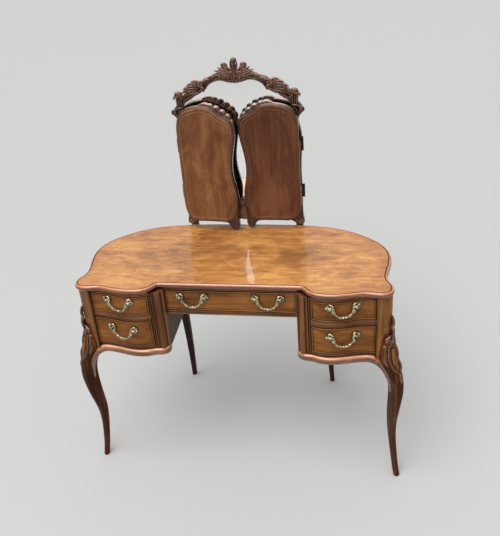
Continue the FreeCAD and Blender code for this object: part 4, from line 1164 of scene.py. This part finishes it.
def crest_carving():
    """Plume between two curls over a fan of leaves, with a pendant underneath."""
    s = Solid()
    # The fan's leaves on the right: path, half-width, height, y, vein.
    fan = [([(2, 1294), (8, 1312), (10.5, 1331)], 4.6, 8, 399, 0.4),
           ([(8, 1292), (22, 1308), (31, 1324)], 6.4, 8, 400, 0.6),
           ([(10, 1292), (34, 1303), (52, 1313)], 6.2, 9, 399, 0.6),
           ([(10, 1288), (38, 1298), (63, 1303)], 6.2, 10, 398, 0.7),
           ([(12, 1284), (44, 1291), (72, 1291)], 6.2, 9, 398, 0.7)]
    front_leaf(s, [(0, 1286), (0, 1312), (0, 1338)], 7, 9, y=398, vein=0.0)
    dome(s, np.array([0, 396.0, 1332.5]), OUT, 9.6, 8.5, 18, 6, back=8)
    for side in (1, -1):
        front_scroll(s, side * 32, 1316.5, math.pi / 2 - side * 2.6, -side * 1.15, 11.0, 4.0, 5.0,
                     tail=[(side * 6, 1290), (side * 15, 1300)], y=400)
        for path, width, height, y, vein in fan:
            front_leaf(s, [(side * x, z) for x, z in path], width, height, y=y, vein=vein)
        for x, z, w in ((11, 1263, 4.4), (23, 1265, 4.6), (35, 1269, 4.6), (47, 1274, 4.6), (59, 1280, 4.4)):
            path = [(side * x * 0.5, 1292), (side * x * 0.85, 1281), (side * x, z)]
            front_leaf(s, path, w, 8, y=395.5, vein=0.6)
        for x, z in ((17, 1281), (30, 1285), (44, 1288)):
            dome(s, np.array([side * x, 389.5, z]), OUT, 3.0, 3.6, 12, 4, back=6)
    front_leaf(s, [(0, 1294), (0, 1280), (0, 1262)], 5.2, 9.5, y=395.5, vein=0.5)
    return s


def shell_carving():
    """Fluted shell on the middle of the bottom rail."""
    s = Solid()
    for x, z in ((0, 862), (11, 858), (21, 846), (29, 830), (36, 814)):
        for side in ((1, -1) if x else (1,)):
            path = [(side * x * 0.16, 792), (side * x * 0.6, (792 + z) / 2 + 4), (side * x, z)]
            front_leaf(s, path, 5.2, 2.6, y=395.6, vein=0.0, thick=6)
    front_leaf(s, [(-20, 793), (0, 786), (20, 793)], 6, 2.4, y=395.6, vein=0.0)
    return s


# Extra width of the frame's sides over the CAD's, and how far its arch stays inside the leaf tips.
SIDE_SWELL, ARCH_WAIST = 2.5, 7.0


def make_centre_mirror():
    profile = [(0, 403), (0, 396), (0.04, 394.4), (0.1, 393.6), (0.18, 393.6), (0.24, 394.4),
               (0.29, 396.4), (0.4, 397.4), (0.6, 397.2), (0.78, 395.6), (0.84, 394.2), (0.92, 393.7),
               (0.98, 394.6), (1, 396.5), (1, 410), (0.96, 411), (0.02, 411)]
    outer = [(x + SIDE_SWELL * clamp(min(z - 850, 1130 - z) / 20) if x > 150 else x,
              z - ARCH_WAIST * clamp(min(x - 100, 186 - x) / 10) if z > 1200 else z)
             for x, z in CENTRE_OUTER]
    ring = ring_solid(whole(outer), whole(CENTRE_INNER), (0, 1040), profile, 720)
    arch = arch_carving()
    carving = Solid().add(arch).add(arch, mirror).add(shell_carving())
    build("moulded_centre_frame", ring, "table", "carved", ["centre_frame"], crease=55)
    build("arch_leaves", carving, "table", "carved", crease=60)
    build("crest_leaves", crest_carving(), "table", "carved", ["mirror_crest"], crease=60)


def backboard_solid():
    """Wing's backboard, with a rounded margin and a fine fillet round its field: inset, y."""
    section = [(0, 365.4), (0, 363.4), (0.8, 362.0), (2.6, 361.2), (5.6, 361.0), (8.2, 361.5),
               (9.4, 362.9), (10.4, 363.0), (11.0, 361.6), (12.2, 361.15), (13.2, 361.6), (14.2, 362.0)]
    rows = []
    for inset, y in section:
        ring = smooth(offset(WING_BOARD, -inset, True), 8, True)
        rows.append([(x, y, z) for x, z in ring])
    return Solid().grid(rows, False, True, True)


def wing_frame_solid():
    """Carved frame behind a wing's backboard; its moulded face is on the glass side."""
    profile = [(0, 380), (0, 386), (0.1, 389.2), (0.22, 390.4), (0.34, 389.4), (0.4, 386.6), (0.6, 385.6),
               (0.76, 387.8), (0.86, 389.6), (0.95, 388.8), (1, 385), (1, 371), (0.97, 367.4), (0.9, 365.6),
               (0.02, 365.6)]
    sight = [tuple(p) for p in offset(WING_BOARD, -27.0, True)]
    solid = ring_solid(WING_FRAME, sight, (104, 1000), profile, 460)
    back = np.array([0, 1.0, 0])
    # Leaves laid along the sloping shoulder, each curling outwards over the next: its path, half-width.
    sprays = [([(118, 1200), (100, 1204), (82, 1205)], 7), ([(98, 1196), (80, 1200), (66, 1196)], 8),
              ([(76, 1187), (60, 1193), (46, 1184)], 8), ([(58, 1176), (42, 1181), (27, 1168)], 8),
              ([(40, 1165), (25, 1167), (13, 1152)], 7.5), ([(24, 1154), (13, 1150), (7.5, 1130)], 6.5),
              ([(14, 1136), (8, 1122), (7, 1098)], 5)]
    for path, width in sprays:
        path = [(x, 383.5, z) for x, z in path]
        leaf(solid, path, back, width, 6, base=0.5, vein=0.5, count=16, thick=12, peak=0.6)
    scroll(solid, (24.5, 378, 773.5), -2.0, -1.1, 8.5, 3.2, 3.6, (0, -1, 0), EAST, UP, flat=2.6,
           tail=[(52, 378, 790), (42, 378, 786), (36, 378, 779)])
    for z, x in ((1060, 196), (1040, 196), (905, 195.5), (880, 195)):
        path = [(x, 378, z + 16), (x + 1.5, 378, z), (x, 378, z - 16)]
        leaf(solid, path, EAST, 7, 3.4, vein=0.3, thick=3)
    return solid


def swing(side):
    """Puts a folded right-hand wing piece on its side; the left wing stands a little open."""
    if side == "right":
        return None

    def move(verts):
        verts = mirror(verts)
        c, s = math.cos(-AJAR), math.sin(-AJAR)
        x, y = verts[:, 0] + HINGE_X, verts[:, 1] - HINGE_Y
        return np.stack([c * x - s * y - HINGE_X, s * x + c * y + HINGE_Y, verts[:, 2]], axis=1)
    return move


def nails_solid():
    """Heads of the pins that hold the backboard, near its inner edge."""
    solid = Solid()
    for x, z in ((33, 1060), (36.5, 985), (23, 905), (100, 810), (150, 1174), (181, 960)):
        dome(solid, np.array([x, 361.9, z]), OUT, 1.5, 0.8, 10, 3)
    return solid


def make_wings():
    board, ring, pins = backboard_solid(), wing_frame_solid(), nails_solid()
    for side in SIDES:
        body, move = side + "_wing", swing(side)
        build(side + "_moulded_board", board, body, side + " board", [body + "_backboard"], 40, move)
        build(side + "_carved_wing", ring, body, "carved", [body + "_frame"], 55, move)
        build(side + "_board_pins", pins, body, "steel", move=move)


make_camera()
make_stage()
dress_nodes()
make_top()
make_legs()
make_case()
make_drawers()
make_centre_mirror()
make_wings()
